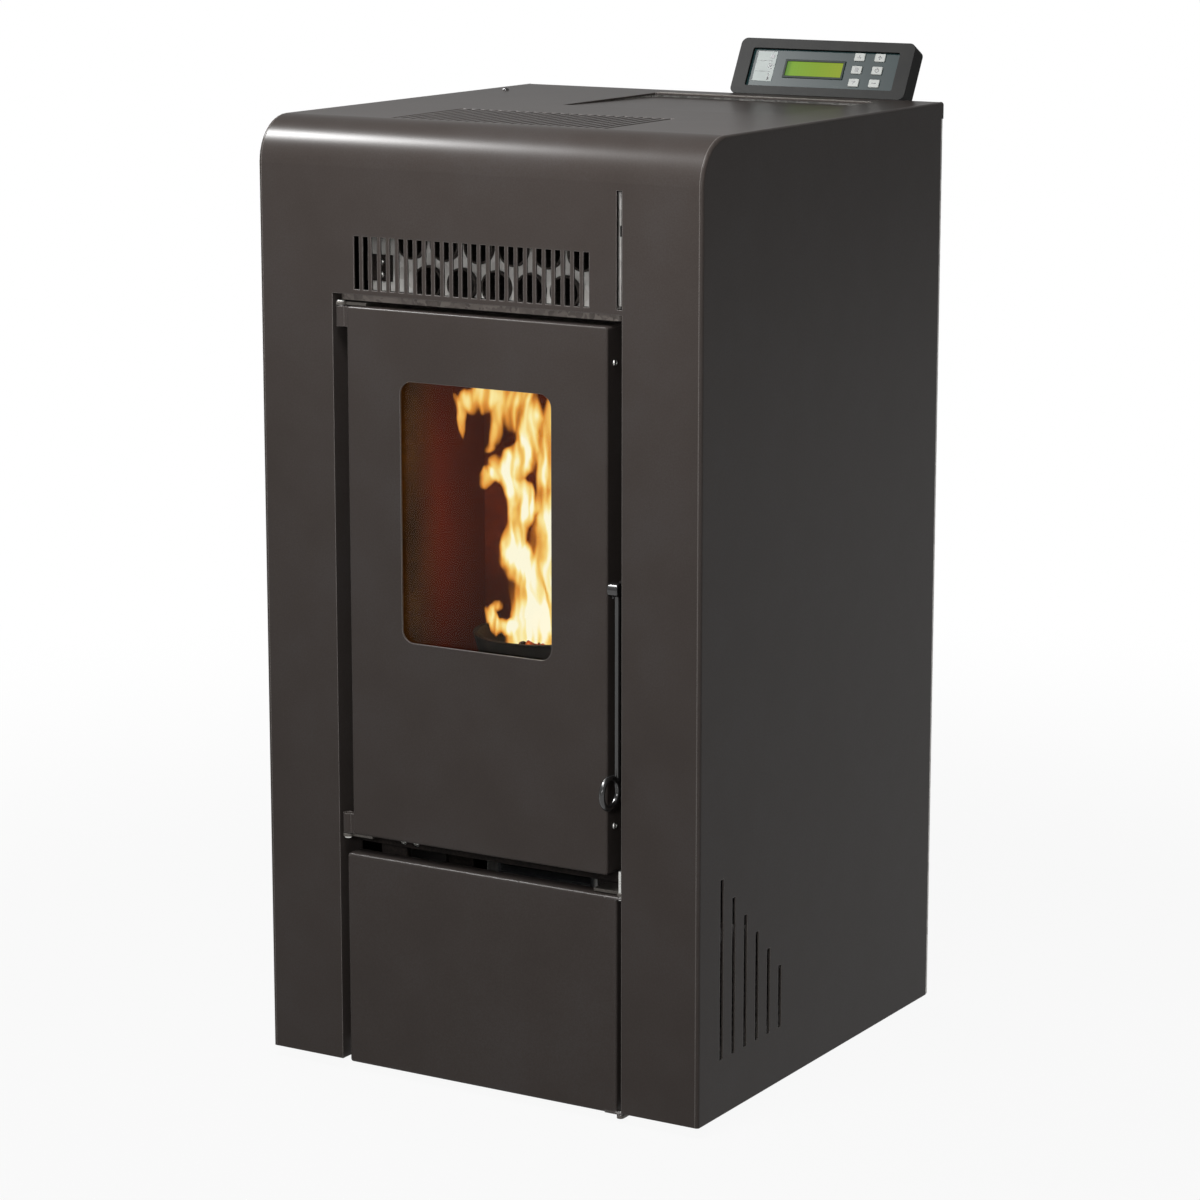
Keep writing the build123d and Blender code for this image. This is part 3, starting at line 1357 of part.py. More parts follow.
clip_width = 24.0
clip_foot = 16.0
clip_lap = 7.0
clip_thickness = 2.0
clip_x = window_width / 2 + glass_lap
clip_rows = (window_middle_z - window_height * 0.36, window_middle_z + window_height * 0.36)

with BuildPart() as glass_clips:
    for hand in (-1, 1):
        for clip_z in clip_rows:
            foot_x = clip_x + clip_foot / 2 + rub_gap
            plate(hand * foot_x - clip_foot / 2, hand * foot_x + clip_foot / 2,
                  front + sheet, glass_back, clip_z - clip_width / 2, clip_z + clip_width / 2)
            lap_x = clip_x - clip_lap + (clip_foot + clip_lap + rub_gap) / 2
            lap_half = (clip_foot + clip_lap + rub_gap) / 2
            plate(hand * lap_x - lap_half, hand * lap_x + lap_half, glass_back,
                  glass_back + clip_thickness, clip_z - clip_width / 2, clip_z + clip_width / 2)
save(glass_clips, "glass_clips")

screw_head = 7.0
screw_rise = 2.2
flank_screw_depth = 13.5
flank_screw_low = 47.0    # above the door's lower edge
flank_screw_high = 35.0   # below its upper edge
flank_screw_levels = (door_bottom + flank_screw_low, door_top - flank_screw_high)

with BuildPart() as door_screws:
    with BuildSketch(from_left(door_half)):
        for level in flank_screw_levels:
            with Locations((front + flank_screw_depth, base + level)):
                Circle(screw_head / 2)
    extrude(amount=screw_rise)
    chamfer(door_screws.edges().group_by(Axis.X)[-1], 0.8)
    with BuildSketch(facing(glass_back + clip_thickness + screw_rise)):
        for hand in (-1, 1):
            for clip_z in clip_rows:
                with Locations((hand * (clip_x + clip_foot / 2), clip_z)):
                    Circle(screw_head / 2)
    extrude(amount=screw_rise)
save(door_screws, "door_screws")

# ---- handle: pivot shaft with its cross pin, hub, rod with a welded ring, hook behind
hub_left = door_half + rub_gap
hub_right = handle_x + rod_size / 2
shaft_left = door_half - sheet - boss_length - 3
cross_pin_size = 2.4
cross_pin_length = 12.0
cross_pin_tilt = 20.0
striker_level = handle_z + 2.0
hook_top = striker_level - striker_size / 2 - rub_gap

with BuildPart() as door_handle:
    with BuildSketch(from_left(shaft_left)):
        with Locations((handle_y, handle_z)):
            Circle(pivot_size / 2)
    extrude(amount=hub_left - shaft_left)
    with Locations((shaft_left + cross_pin_size / 2, handle_y, handle_z)):
        Cylinder(cross_pin_size / 2, cross_pin_length, rotation=(cross_pin_tilt, 0, 0))
    with BuildSketch(from_left(hub_left)):
        with Locations((handle_y, handle_z)):
            Circle(hub_size / 2)
    extrude(amount=hub_right - hub_left)
    chamfer(door_handle.edges().group_by(Axis.X)[-1], 1)
    with BuildSketch(Plane.XY.offset(base + ring_level + rod_end_rise)):
        with Locations((handle_x, handle_y)):
            Circle(rod_size / 2)
    extrude(amount=handle_level - ring_level - rod_end_rise)
    with Locations((handle_x, handle_y - ring_radius + ring_weld, base + ring_level)):
        Torus(ring_radius, rod_size / 2, rotation=(0, 90, 0))
    with BuildSketch(from_left(hub_left)):
        with Locations((handle_y, hook_top)):
            Rectangle(hook_reach, hook_height, align=(Align.MIN, Align.MAX))
    extrude(amount=hook_thickness)
save(door_handle, "door_handle")

with BuildPart() as door_striker:
    with BuildSketch(from_left(hub_left)):
        with Locations((front + striker_depth, striker_level)):
            Circle(striker_size / 2)
    extrude(amount=frame_half - hub_left)
    with BuildSketch(from_left(frame_half - bracket_thickness)):
        with Locations((frame_front, striker_level)):
            Rectangle(frame_depth - striker_depth + striker_size, 16, align=(Align.MAX, Align.CENTER))
    extrude(amount=bracket_thickness)
save(door_striker, "door_striker")

# ================================================================ lower panel
panel_half = panel_width / 2
panel_front = front + panel_depth
panel_back = panel_front + panel_fold
panel_axis_x = recess - panel_axis_inset
panel_axis_y = front + panel_axis_depth

with BuildPart() as lower_panel:
    with BuildSketch(facing(panel_back)):
        with Locations((0, base + panel_bottom)):
            Rectangle(panel_width, panel_top - panel_bottom, align=(Align.CENTER, Align.MIN))
    extrude(amount=panel_fold)
    fillet(lower_panel.edges().filter_by(Axis.Y), edge_radius)
    fillet(lower_panel.faces().sort_by(Axis.Y)[0].edges(), edge_radius - 0.5)
    offset(amount=-sheet, openings=lower_panel.faces().sort_by(Axis.Y)[-1])
    for ear_level in (base + panel_bottom, base + panel_top - sheet):
        with BuildSketch(Plane.XY.offset(ear_level)):
            with Locations((panel_axis_x, panel_axis_y)):
                Circle(panel_ear)
                Rectangle(ear_length, 2 * panel_ear, align=(Align.MAX, Align.CENTER))
                Circle(panel_pin_size / 2 + running_gap, mode=Mode.SUBTRACT)
        extrude(amount=sheet)
save(lower_panel, "lower_panel")

# ================================================================ hinge brackets and pins
door_low_bracket = base + door_bottom - rub_gap - bracket_thickness
door_high_bracket = base + door_top + rub_gap
panel_high_bracket = base + panel_top + ear_gap
panel_low_bracket = base + panel_bottom - ear_gap - bracket_thickness
bracket_width_x = 34.0

with BuildPart() as hinge_brackets:
    for level in (door_low_bracket, door_high_bracket):
        with BuildSketch(Plane.XY.offset(level)):
            with Locations((door_axis_x, door_axis_y)):
                Circle(knuckle_size / 2)
            with Locations((door_axis_x - knuckle_size / 2, frame_front)):
                Rectangle(bracket_width_x, frame_depth - door_axis_depth, align=(Align.MIN, Align.MAX))
            with Locations((door_axis_x, door_axis_y)):
                Circle(hinge_pin_size / 2, mode=Mode.SUBTRACT)
        extrude(amount=bracket_thickness)
    with BuildSketch(Plane.XY.offset(panel_high_bracket)):
        with Locations((panel_axis_x, panel_axis_y)):
            Circle(panel_ear)
            Circle(panel_pin_size / 2, mode=Mode.SUBTRACT)
        with Locations((panel_axis_x + panel_ear / 2, frame_front)):
            Rectangle(bracket_width_x, frame_depth - panel_axis_depth - panel_ear + 1,
                      align=(Align.MAX, Align.MAX))
    extrude(amount=bracket_thickness)
    with BuildSketch(Plane.XY.offset(panel_low_bracket)):
        with Locations((panel_axis_x, panel_axis_y)):
            Circle(panel_ear)
            Rectangle(2 * panel_ear, tray_front + sheet - panel_axis_y, align=(Align.CENTER, Align.MIN))
            Circle(panel_pin_size / 2, mode=Mode.SUBTRACT)
    extrude(amount=bracket_thickness)
    plate(panel_axis_x - panel_ear, panel_axis_x + panel_ear, tray_front, tray_front + sheet,
          panel_low_bracket, tray_under)
save(hinge_brackets, "hinge_brackets")

pin_head = 1.5
pin_head_lap = 1.5
lid_pin_length = lid_knuckle_length + 2 * (ear_thickness + fit_gap) + 2

with BuildPart() as hinge_pins:
    # fire door: lower pin points up, upper pin points down
    for pin_low, head_low in (
        (door_low_bracket, door_low_bracket - pin_head),
        (door_high_bracket - knuckle_length, door_high_bracket + bracket_thickness),
    ):
        with BuildSketch(Plane.XY.offset(pin_low)):
            with Locations((door_axis_x, door_axis_y)):
                Circle(hinge_pin_size / 2)
        extrude(amount=knuckle_length + bracket_thickness)
        with BuildSketch(Plane.XY.offset(head_low)):
            with Locations((door_axis_x, door_axis_y)):
                Circle(hinge_pin_size / 2 + pin_head_lap)
        extrude(amount=pin_head)
    # lower panel: the upper pin stands above its bracket and can be drawn out
    for pin_low, pin_length in (
        (base + panel_top - sheet - ear_gap, panel_pin_rise + sheet + ear_gap),
        (panel_low_bracket, bracket_thickness + 2 * ear_gap + sheet),
    ):
        with BuildSketch(Plane.XY.offset(pin_low)):
            with Locations((panel_axis_x, panel_axis_y)):
                Circle(panel_pin_size / 2)
        extrude(amount=pin_length)
    for place in knuckle_places:
        with BuildSketch(from_left(place - lid_pin_length / 2)):
            with Locations((lid_axis_y, lid_axis_z)):
                Circle(lid_pin_size / 2)
        extrude(amount=lid_pin_length)
save(hinge_pins, "hinge_pins")

# ================================================================ screws of the casing
rail_screw_left = 33.0    # first screw from the firebox's left side
rail_screw_pitch = 15.0
rail_screw_rise = 6.0     # above the frame's lower edge
side_screw_inset = 65.0   # first and last screw from the back panel's ends
side_screws = 4
side_screw_span = casing_height - rear_lip - 2 * side_screw_inset
side_screw_half = back_half - 8.0    # from the stove's middle to each row of screws

with BuildPart() as casing_screws:
    with BuildSketch(facing(frame_front)):
        for number in range(2):
            screw_x = rail_screw_left - box_half + number * rail_screw_pitch
            with Locations((screw_x, base + frame_bottom + rail_screw_rise)):
                Circle(screw_head / 2)
    extrude(amount=screw_rise)
    with BuildSketch(facing(rear + screw_rise)):
        with Locations((0, base + (casing_height - rear_lip) / 2)):
            with GridLocations(2 * side_screw_half, side_screw_span / (side_screws - 1), 2, side_screws):
                Circle(screw_head / 2)
    extrude(amount=screw_rise)
save(casing_screws, "casing_screws")

# ================================================================ console
lean = radians(console_lean)
console_normal = (0, -cos(lean), sin(lean))
console_plane = Plane(
    origin=(console_left, rear + console_gap, top), x_dir=(1, 0, 0), z_dir=console_normal,
)
console_back = console_plane.offset(-console_thickness)
face_plane = console_plane.offset(-face_recess)
face_width = console_width - 2 * bezel_side
face_height = console_height - bezel_top - bezel_bottom
case_wall = 3.0

with BuildPart() as console_case:
    with BuildSketch(console_back):
        with Locations((console_width / 2, console_height / 2)):
            RectangleRounded(console_width, console_height, console_corner)
    extrude(amount=console_thickness)
    with BuildSketch(console_plane):
        with Locations((bezel_side + face_width / 2, bezel_bottom + face_height / 2)):
            RectangleRounded(face_width, face_height, 2)
    extrude(amount=case_wall - console_thickness, mode=Mode.SUBTRACT)
save(console_case, "console_case")

with BuildPart() as console_face:
    with BuildSketch(face_plane):
        with Locations((bezel_side + face_width / 2, bezel_bottom + face_height / 2)):
            RectangleRounded(face_width, face_height, 2)
        with Locations((lcd_left + lcd_width / 2, lcd_bottom + lcd_height / 2)):
            Rectangle(lcd_width, lcd_height, mode=Mode.SUBTRACT)
        for column in button_columns:
            for row in button_rows:
                with Locations((column, row)):
                    RectangleRounded(button_width + 2 * fit_gap, button_height + 2 * fit_gap, 1.5,
                                     mode=Mode.SUBTRACT)
    extrude(amount=-face_thickness)
save(console_face, "console_face")

with BuildPart() as lcd_window:
    with BuildSketch(face_plane):
        with Locations((lcd_left + lcd_width / 2, lcd_bottom + lcd_height / 2)):
            Rectangle(lcd_width, lcd_height)
    extrude(amount=-face_thickness - 2)
save(lcd_window, "lcd_window")

button_number = 0
for column in button_columns:
    for row in button_rows:
        button_number += 1
        with BuildPart() as console_button:
            with BuildSketch(face_plane.offset(button_stand)):
                with Locations((column, row)):
                    RectangleRounded(button_width, button_height, 1.2)
            extrude(amount=-button_depth)
            chamfer(console_button.faces().sort_by(Axis.Y)[0].edges(), 0.4)
        save(console_button, f"console_button_{button_number}")

# ---- bracket: plate on the back panel, bent to stand behind the console
bracket_sheet = 2.0
bracket_middle = console_left + console_width / 2
console_back_low = console_back.origin - console_back.y_dir * 12
console_back_high = console_back.origin + console_back.y_dir * (console_height - 8)

with BuildPart() as console_bracket:
    with BuildSketch(from_left(bracket_middle - bracket_width / 2)):
        with BuildLine():
            bracket_line = FilletPolyline(
                (rear, top - rear_lip - bracket_drop), (rear, top - rear_lip - 22),
                (console_back_low.Y, console_back_low.Z), (console_back_high.Y, console_back_high.Z),
                radius=[3, 3],
            )
            offset(bracket_line, amount=bracket_sheet, side=Side.RIGHT)
        make_face()
    extrude(amount=bracket_width)
save(console_bracket, "console_bracket")

# ================================================================ electrics at the back
inlet_z = base + inlet_level
socket_z = inlet_z - inlet_height / 2 + inlet_flange + socket_height / 2 + 5
rocker_z = inlet_z + inlet_height / 2 - inlet_flange - rocker_height / 2 - 6
rocker_pivot_depth = 6.0
rocker_radius = hypot(rocker_height / 2, rocker_pivot_depth) + fit_gap

with BuildPart() as power_inlet:
    with BuildSketch(facing(rear + inlet_flange)):
        with Locations((inlet_x, inlet_z)):
            RectangleRounded(inlet_width, inlet_height, 3)
    extrude(amount=inlet_flange)
    with BuildSketch(facing(rear)):
        with Locations((inlet_x, inlet_z)):
            Rectangle(inlet_width - 2 * inlet_flange, inlet_height - 2 * inlet_flange)
    extrude(amount=inlet_body_depth)
    with BuildSketch(facing(rear + inlet_flange)):
        with Locations((inlet_x, socket_z)):
            Rectangle(socket_width, socket_height)
    extrude(amount=socket_depth, mode=Mode.SUBTRACT)
    with BuildSketch(facing(rear + inlet_flange - socket_depth)):
        with Locations((inlet_x, socket_z)):
            with GridLocations(7, 1, 3, 1):
                Rectangle(2, 4)
    extrude(amount=-socket_depth * 0.7)
    with BuildSketch(from_left(inlet_x - rocker_width / 2 - fit_gap)):
        with Locations((rear + inlet_flange - rocker_pivot_depth, rocker_z)):
            Circle(rocker_radius)
    extrude(amount=rocker_width + 2 * fit_gap, mode=Mode.SUBTRACT)
    with BuildSketch(facing(rear + inlet_flange)):
        with Locations((inlet_x, rocker_z)):
            Rectangle(rocker_width + 2 * fit_gap, 2 * rocker_radius)
    extrude(amount=rocker_pivot_depth, mode=Mode.SUBTRACT)
    with BuildSketch(from_left(inlet_x - rocker_width / 2 - fit_gap)):
        with Locations((rear + inlet_flange - rocker_pivot_depth, rocker_z)):
            Circle(1.5)
    extrude(amount=rocker_width + 2 * fit_gap)
save(power_inlet, "power_inlet")

rocker_axis = Plane(
    origin=(inlet_x - rocker_width / 2, rear + inlet_flange - rocker_pivot_depth, rocker_z),
    x_dir=(0, cos(radians(rocker_tilt)), sin(radians(rocker_tilt))), z_dir=(1, 0, 0),
)

with BuildPart() as power_switch_rocker:
    with BuildSketch(rocker_axis):
        with BuildLine():
            Polyline((0, -rocker_height / 2), (rocker_pivot_depth + 0.8, -rocker_height / 2),
                     (rocker_pivot_depth - 0.6, 0), (rocker_pivot_depth + 0.8, rocker_height / 2),
                     (0, rocker_height / 2), close=True)
        make_face()
        Circle(rocker_height / 2)
        Circle(1.5 + running_gap, mode=Mode.SUBTRACT)
    extrude(amount=rocker_width)
save(power_switch_rocker, "power_switch_rocker")

thermostat_z = base + thermostat_level
thermostat_collar = reset_size - fit_gap

with BuildPart() as safety_thermostat:
    with BuildSketch(facing(rear - back_sheet)):
        with Locations((inlet_x, thermostat_z)):
            Circle(thermostat_size / 2)
    extrude(amount=14)
    with BuildSketch(facing(rear + 4)):
        with Locations((inlet_x, thermostat_z)):
            Circle(thermostat_collar)
    extrude(amount=4 + back_sheet)
    with BuildSketch(facing(rear + 4)):
        with Locations((inlet_x, thermostat_z)):
            Circle(reset_size / 2 + 0.15)
    extrude(amount=12, mode=Mode.SUBTRACT)
save(safety_thermostat, "safety_thermostat")

with BuildPart() as reset_button:
    with BuildSketch(facing(rear + 4 + reset_travel)):
        with Locations((inlet_x, thermostat_z)):
            Circle(reset_size / 2)
    extrude(amount=10)
    chamfer(reset_button.edges().group_by(Axis.Y)[-1], 0.6)
save(reset_button, "reset_button")

# ---- control board on stand-offs inside the right side panel
board_thickness = 1.6
board_post = 12.0
board_x = side - sheet - board_post
board_y = front + board_depth
board_z = base + board_level

with BuildPart() as control_board:
    with BuildSketch(from_left(board_x - board_thickness)):
        with Locations((board_y, board_z)):
            Rectangle(board_width, board_height)
    extrude(amount=board_thickness)
    with BuildSketch(from_left(board_x)):
        with Locations((board_y, board_z)):
            with GridLocations(board_width - 12, board_height - 12, 2, 2):
                Circle(4)
    extrude(amount=board_post)
    for part_y, part_z, part_w, part_h, part_d in (
        (-28, 45, 34, 40, 28), (20, 52, 22, 22, 16), (20, 20, 30, 12, 10), (-30, -5, 18, 18, 20),
        (18, -18, 34, 18, 5), (-20, -52, 60, 12, 12), (38, -52, 18, 14, 12),
    ):
        plate(board_x - board_thickness - part_d, board_x - board_thickness,
              board_y + part_y - part_w / 2, board_y + part_y + part_w / 2,
              board_z + part_z - part_h / 2, board_z + part_z + part_h / 2)
save(control_board, "control_board")
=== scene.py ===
import math
import random

import bmesh
import bpy
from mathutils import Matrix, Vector, noise


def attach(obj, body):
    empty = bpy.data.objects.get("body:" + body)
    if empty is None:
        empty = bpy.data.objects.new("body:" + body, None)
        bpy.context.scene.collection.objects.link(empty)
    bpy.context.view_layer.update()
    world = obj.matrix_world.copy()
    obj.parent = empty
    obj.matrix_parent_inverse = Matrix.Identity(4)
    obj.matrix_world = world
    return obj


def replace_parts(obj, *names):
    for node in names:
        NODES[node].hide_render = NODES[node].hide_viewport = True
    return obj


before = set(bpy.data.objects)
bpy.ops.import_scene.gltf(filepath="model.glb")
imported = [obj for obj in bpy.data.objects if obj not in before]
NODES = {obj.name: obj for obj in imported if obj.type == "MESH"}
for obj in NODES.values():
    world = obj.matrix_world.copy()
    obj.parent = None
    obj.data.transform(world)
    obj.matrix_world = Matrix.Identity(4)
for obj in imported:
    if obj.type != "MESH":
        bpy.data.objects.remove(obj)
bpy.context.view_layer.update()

# Looks of the pellet stove. Metres, X to the right seen from the front, Y to the rear, Z up.
MM = 0.001
SHARP_ANGLE = math.radians(35.0)
random.seed(7)

# The console's front leans back: how far its upward way goes to the rear and up.
LEAN_BACK, LEAN_UP = 0.4756, 0.8796
CONSOLE_LEAN = math.atan2(LEAN_UP, LEAN_BACK)


# ================================================================ materials
WHITE = "FFFFFF"
BEVEL_SAMPLES = 6
COAT_IOR = 1.5
MOULDED_EDGE = 0.5                      # mm, rounding of moulded edges
EDGE_WIDTH = 1.4                        # the painted highlight along an edge is this much wider than the edge's rounding
EDGE_SHARE = 0.55                       # how far the painted edge highlight goes to its own colour
EDGE_FLAT, EDGE_TURNED = 0.98, 0.80     # cosines between which an edge counts as turned
WARP_SIZE = 1.5                         # the noise that bends crystals is this much larger than they are
GLOW_FROM, GLOW_TO = -185.0, -135.0   # mm, front to back, where painted firelight turns the side boards red-brown
CELL_SIZE = 7.4                         # mm, the display's character cells
DISPLAY_LEFT, DISPLAY_RIGHT = 57.5, 123.5     # mm


def linear(code):
    """Linear RGBA of an sRGB hex colour."""
    parts = [int(code[i:i + 2], 16) / 255 for i in (0, 2, 4)]
    return [c / 12.92 if c <= 0.04045 else ((c + 0.055) / 1.055) ** 2.4 for c in parts] + [1.0]


def per_mm(size):
    """Texture scale, in a space measured in metres, at which one feature is that many millimetres."""
    return 1.0 / (size * MM)


def feed(node, links):
    """Gives a node's sockets their values, or the sources they take them from."""
    for name, value in links.items():
        if isinstance(value, bpy.types.NodeSocket):
            node.id_data.links.new(value, node.inputs[name])
        else:
            node.inputs[name].default_value = value


def add(tree, kind, links=None, **settings):
    """Adds one node; settings are its properties, links its sockets' values or sources."""
    made = tree.nodes.new(kind)
    for name, value in settings.items():
        setattr(made, name, value)
    feed(made, links or {})
    return made


def bare_material(name):
    """A node material with nothing in it: (material, tree)."""
    made = bpy.data.materials.new(name)
    made.use_nodes = True
    made.node_tree.nodes.clear()
    return made, made.node_tree


def material(name):
    """A node material with its surface shader: (material, tree, shader)."""
    made, tree = bare_material(name)
    shader = add(tree, "ShaderNodeBsdfPrincipled")
    add(tree, "ShaderNodeOutputMaterial", {"Surface": shader.outputs["BSDF"]})
    return made, tree, shader


def place(tree):
    """Object coordinates: the row frame, in metres."""
    return add(tree, "ShaderNodeTexCoord").outputs["Object"]


def speckle(tree, where, size_mm, detail, output="Fac"):
    """Noise with features of about size_mm."""
    made = add(tree, "ShaderNodeTexNoise", {"Vector": where, "Scale": per_mm(size_mm), "Detail": detail})
    return made.outputs[output]


def crystals(tree, where, size_mm, channel):
    """Cells of about size_mm: their distance, and a random tone for each."""
    made = add(tree, "ShaderNodeTexVoronoi", {"Vector": where, "Scale": per_mm(size_mm)})
    tone = add(tree, "ShaderNodeSeparateColor", {"Color": made.outputs["Color"]}).outputs[channel]
    return made.outputs["Distance"], tone


def calculate(tree, operation, one, other):
    """The result of one operation on two values."""
    return add(tree, "ShaderNodeMath", {0: one, 1: other}, operation=operation).outputs[0]


def average(tree, one, other):
    """Half the sum of two values."""
    return calculate(tree, "MULTIPLY", calculate(tree, "ADD", one, other), 0.5)


def blend(tree, share, one, other, kind="MIX"):
    """Colour one, changed by colour other as far as share says."""
    made = add(tree, "ShaderNodeMixRGB", {"Fac": share, "Color1": one, "Color2": other}, blend_type=kind)
    return made.outputs["Color"]


def ramp(tree, source, stops):
    """A colour ramp over source; stops are (position, hex colour)."""
    made = add(tree, "ShaderNodeValToRGB", {"Fac": source})
    points = made.color_ramp.elements
    while len(points) < len(stops):
        points.new(0.5)
    for point, (position, code) in zip(points, stops):
        point.position = position
        point.color = linear(code)
    return made.outputs["Color"]


def spread(tree, source, low, high, start=0.0, end=1.0, shape="LINEAR"):
    """source from start to end, mapped to low to high."""
    made = add(tree, "ShaderNodeMapRange", {"Value": source, "From Min": start, "From Max": end,
                                            "To Min": low, "To Max": high}, interpolation_type=shape)
    return made.outputs["Result"]


def rounding(tree, radius_mm):
    """The surface's normal over edges rounded by radius_mm."""
    return add(tree, "ShaderNodeBevel", {"Radius": radius_mm * MM}, samples=BEVEL_SAMPLES).outputs["Normal"]


def relief(tree, shader, height, depth_mm, strength, bevel_mm=0.0):
    """Bump of that depth on the shader, over edges rounded by bevel_mm."""
    links = {"Height": height, "Distance": depth_mm * MM, "Strength": strength}
    if bevel_mm:
        links["Normal"] = rounding(tree, bevel_mm)
    feed(shader, {"Normal": add(tree, "ShaderNodeBump", links).outputs["Normal"]})


def painted_edge_highlight(tree, radius_mm):
    """Painted edge highlight: 0 on flat places, up to EDGE_SHARE where an edge of that radius turns."""
    flat = add(tree, "ShaderNodeNewGeometry").outputs["Normal"]
    turned = rounding(tree, radius_mm)
    alike = add(tree, "ShaderNodeVectorMath", {0: turned, 1: flat}, operation="DOT_PRODUCT").outputs["Value"]
    return spread(tree, alike, 0.0, EDGE_SHARE, EDGE_FLAT, EDGE_TURNED)


def paint(name, code, dark, light, rough, grain_mm=1.6, cloud_mm=70.0, peel=0.05, level=0.5, bevel_mm=1.0,
          edge=None):
    """A sprayed or baked coat: a base colour with faint clouds, a grain, and orange peel; edge is the
    colour of a painted highlight along its edges."""
    made, tree, shader = material(name)
    where = place(tree)
    cloud = speckle(tree, where, cloud_mm, 3.0)
    grain = speckle(tree, where, grain_mm, 2.0)
    colour = ramp(tree, average(tree, cloud, grain), [(0.36, dark), (0.5, code), (0.64, light)])
    # Painted highlight: the coat turns lighter where its edges round.
    if edge:
        colour = blend(tree, painted_edge_highlight(tree, bevel_mm * EDGE_WIDTH), colour, linear(edge))
    feed(shader, {"Base Color": colour, "Roughness": spread(tree, cloud, *rough), "IOR": COAT_IOR,
                  "Specular IOR Level": level})
    relief(tree, shader, grain, peel, 0.6, bevel_mm)
    return made


def sheet_metal(name, code, dark, light, rough, cell_mm, peel=0.02, bevel_mm=0.6, share=1.0, blur=0.12):
    """A metal whose surface shows crystals or patches of about cell_mm; blur bends their borders, and
    share is how much of it is bare metal."""
    made, tree, shader = material(name)
    where = place(tree)
    warp = speckle(tree, where, cell_mm * WARP_SIZE, 2.0, "Color")
    _, tone = crystals(tree, blend(tree, blur, where, warp), cell_mm, "Red")
    feed(shader, {"Base Color": ramp(tree, tone, [(0.1, dark), (0.5, code), (0.9, light)]),
                  "Roughness": spread(tree, tone, *rough), "Metallic": share})
    relief(tree, shader, speckle(tree, where, 1.2, 3.0), peel, 0.5, bevel_mm)
    return made


# Powder coat on folded sheet steel, baked: a soft even sheen and a very fine orange peel. The
# real peel is 0.5 mm wide; it is drawn 1.6 mm wide so that it shows.
# Its edges carry a painted highlight in A8A29E.
charcoal_coat = paint("charcoal_powder_coat_baked", "443E3B", "413B38", "474240", (0.29, 0.33), peel=0.03,
                      level=0.08, edge="A8A29E")

# The same coat where the lower panel's sheet is folded over, with a wider and brighter painted highlight
# along its edges.
fold_highlight_coat = paint("charcoal_powder_coat_fold_highlight", "443E3B", "413B38", "474240", (0.27, 0.31), peel=0.03,
                  level=0.08, bevel_mm=2.4, edge="D6D2D0")

# Heat-resistant silicone paint on steel: flatter and darker than the casing's coat.
stove_paint = paint("black_stove_paint_sprayed", "272423", "1E1C1B", "302D2B", (0.62, 0.78), 1.2, 30.0,
                    0.06, 0.35)

# Stove paint inside the fire's path: the same, dulled by soot.
soot_paint = paint("sooted_stove_paint", "2A2523", "171413", "3A332F", (0.75, 0.92), 2.5, 40.0, 0.15, 0.25)

# Black enamel on the handle's bar.
handle_black = paint("handle_black_enamel", "1D1C1C", "181717", "242322", (0.16, 0.26), 1.2, 20.0,
                     0.02, 0.8, 0.4)

# Hot-dip galvanised sheet: grey zinc crystals about 9 mm across that catch the light differently. Its
# skin has dulled a little, so part of the light scatters.
galvanised = sheet_metal("galvanised_steel_sheet", "CFCDC9", "B4B2AE", "E2E0DC", (0.32, 0.50), 9.0,
                         share=0.35, blur=0.006)

# The same sheet on the plate round the air tubes, pale and brighter than the rest: painted light on a plate
# deep behind the grille.
lit_zinc = sheet_metal("galvanised_steel_painted_lit", "EEEBE6", "DEDBD6", "F8F6F2", (0.28, 0.42), 12.0,
                       share=0.15, blur=0.008)

# Zinc-plated small parts, turned or pressed: bright and almost even.
bright_zinc = sheet_metal("zinc_plated_steel", "C4C4C0", "B4B3AF", "D2D2CF", (0.22, 0.34), 5.0, 0.01, 0.3)

# Boiler tube, hot rolled: a thin brown-grey mill scale with rubbed spots.
tube_steel = sheet_metal("rolled_tube_mill_scale", "4A4542", "35312F", "635D59", (0.48, 0.66), 6.0, 0.06)

# Aluminium, die cast: even silver-grey with a fine cast skin.
cast_aluminium = sheet_metal("aluminium_die_cast", "B4B6B8", "A6A8AA", "C0C2C4", (0.36, 0.48), 3.0, 0.05)

# Enamel on motors and the gearbox: satin blue-grey.
motor_enamel = paint("motor_enamel_satin", "33363B", "2B2E32", "3C4046", (0.30, 0.42), 1.2, 25.0, 0.02)

# Sheet steel tinted by heat above the door: brown-grey, in soft patches.
heated_steel = sheet_metal("heat_tinted_steel_sheet", "6E6661", "5A534E", "857D77", (0.42, 0.60), 14.0, 0.04,
                           share=0.3)

# Steel pressings, phosphated: the hinges' leaves, dull dark grey.
phosphated = sheet_metal("phosphated_steel_pressed", "57534F", "48443F", "68645F", (0.45, 0.60), 4.0, 0.04,
                         share=0.6)


def vermiculite_board(name, tones, soot, fire_glow=None):
    """Pressed vermiculite board: flakes of 3 mm in a buff binder, in brown tones with soot. The last argument
    is
    painted firelight: the colour it turns to towards the back, near the flame."""
    made, tree, shader = material(name)
    where = place(tree)
    edges, tone = crystals(tree, where, 3.2, "Green")
    board = ramp(tree, tone, list(zip((0.0, 0.45, 0.8, 1.0), tones)))
    black = ramp(tree, speckle(tree, where, 90.0, 4.0), [(0.35, soot), (0.65, WHITE)])
    colour = blend(tree, 0.7, board, black, "MULTIPLY")
    # Painted firelight: towards the back, near the flame, the board turns red-brown.
    if fire_glow:
        depth = add(tree, "ShaderNodeSeparateXYZ", {"Vector": where}).outputs["Y"]
        back = spread(tree, depth, 0.0, 1.0, GLOW_FROM * MM, GLOW_TO * MM)
        colour = blend(tree, back, colour, linear(fire_glow))
    feed(shader, {"Base Color": colour, "Roughness": 0.95, "Specular IOR Level": 0.2})
    relief(tree, shader, edges, 0.15, 0.4, 1.0)
    return made


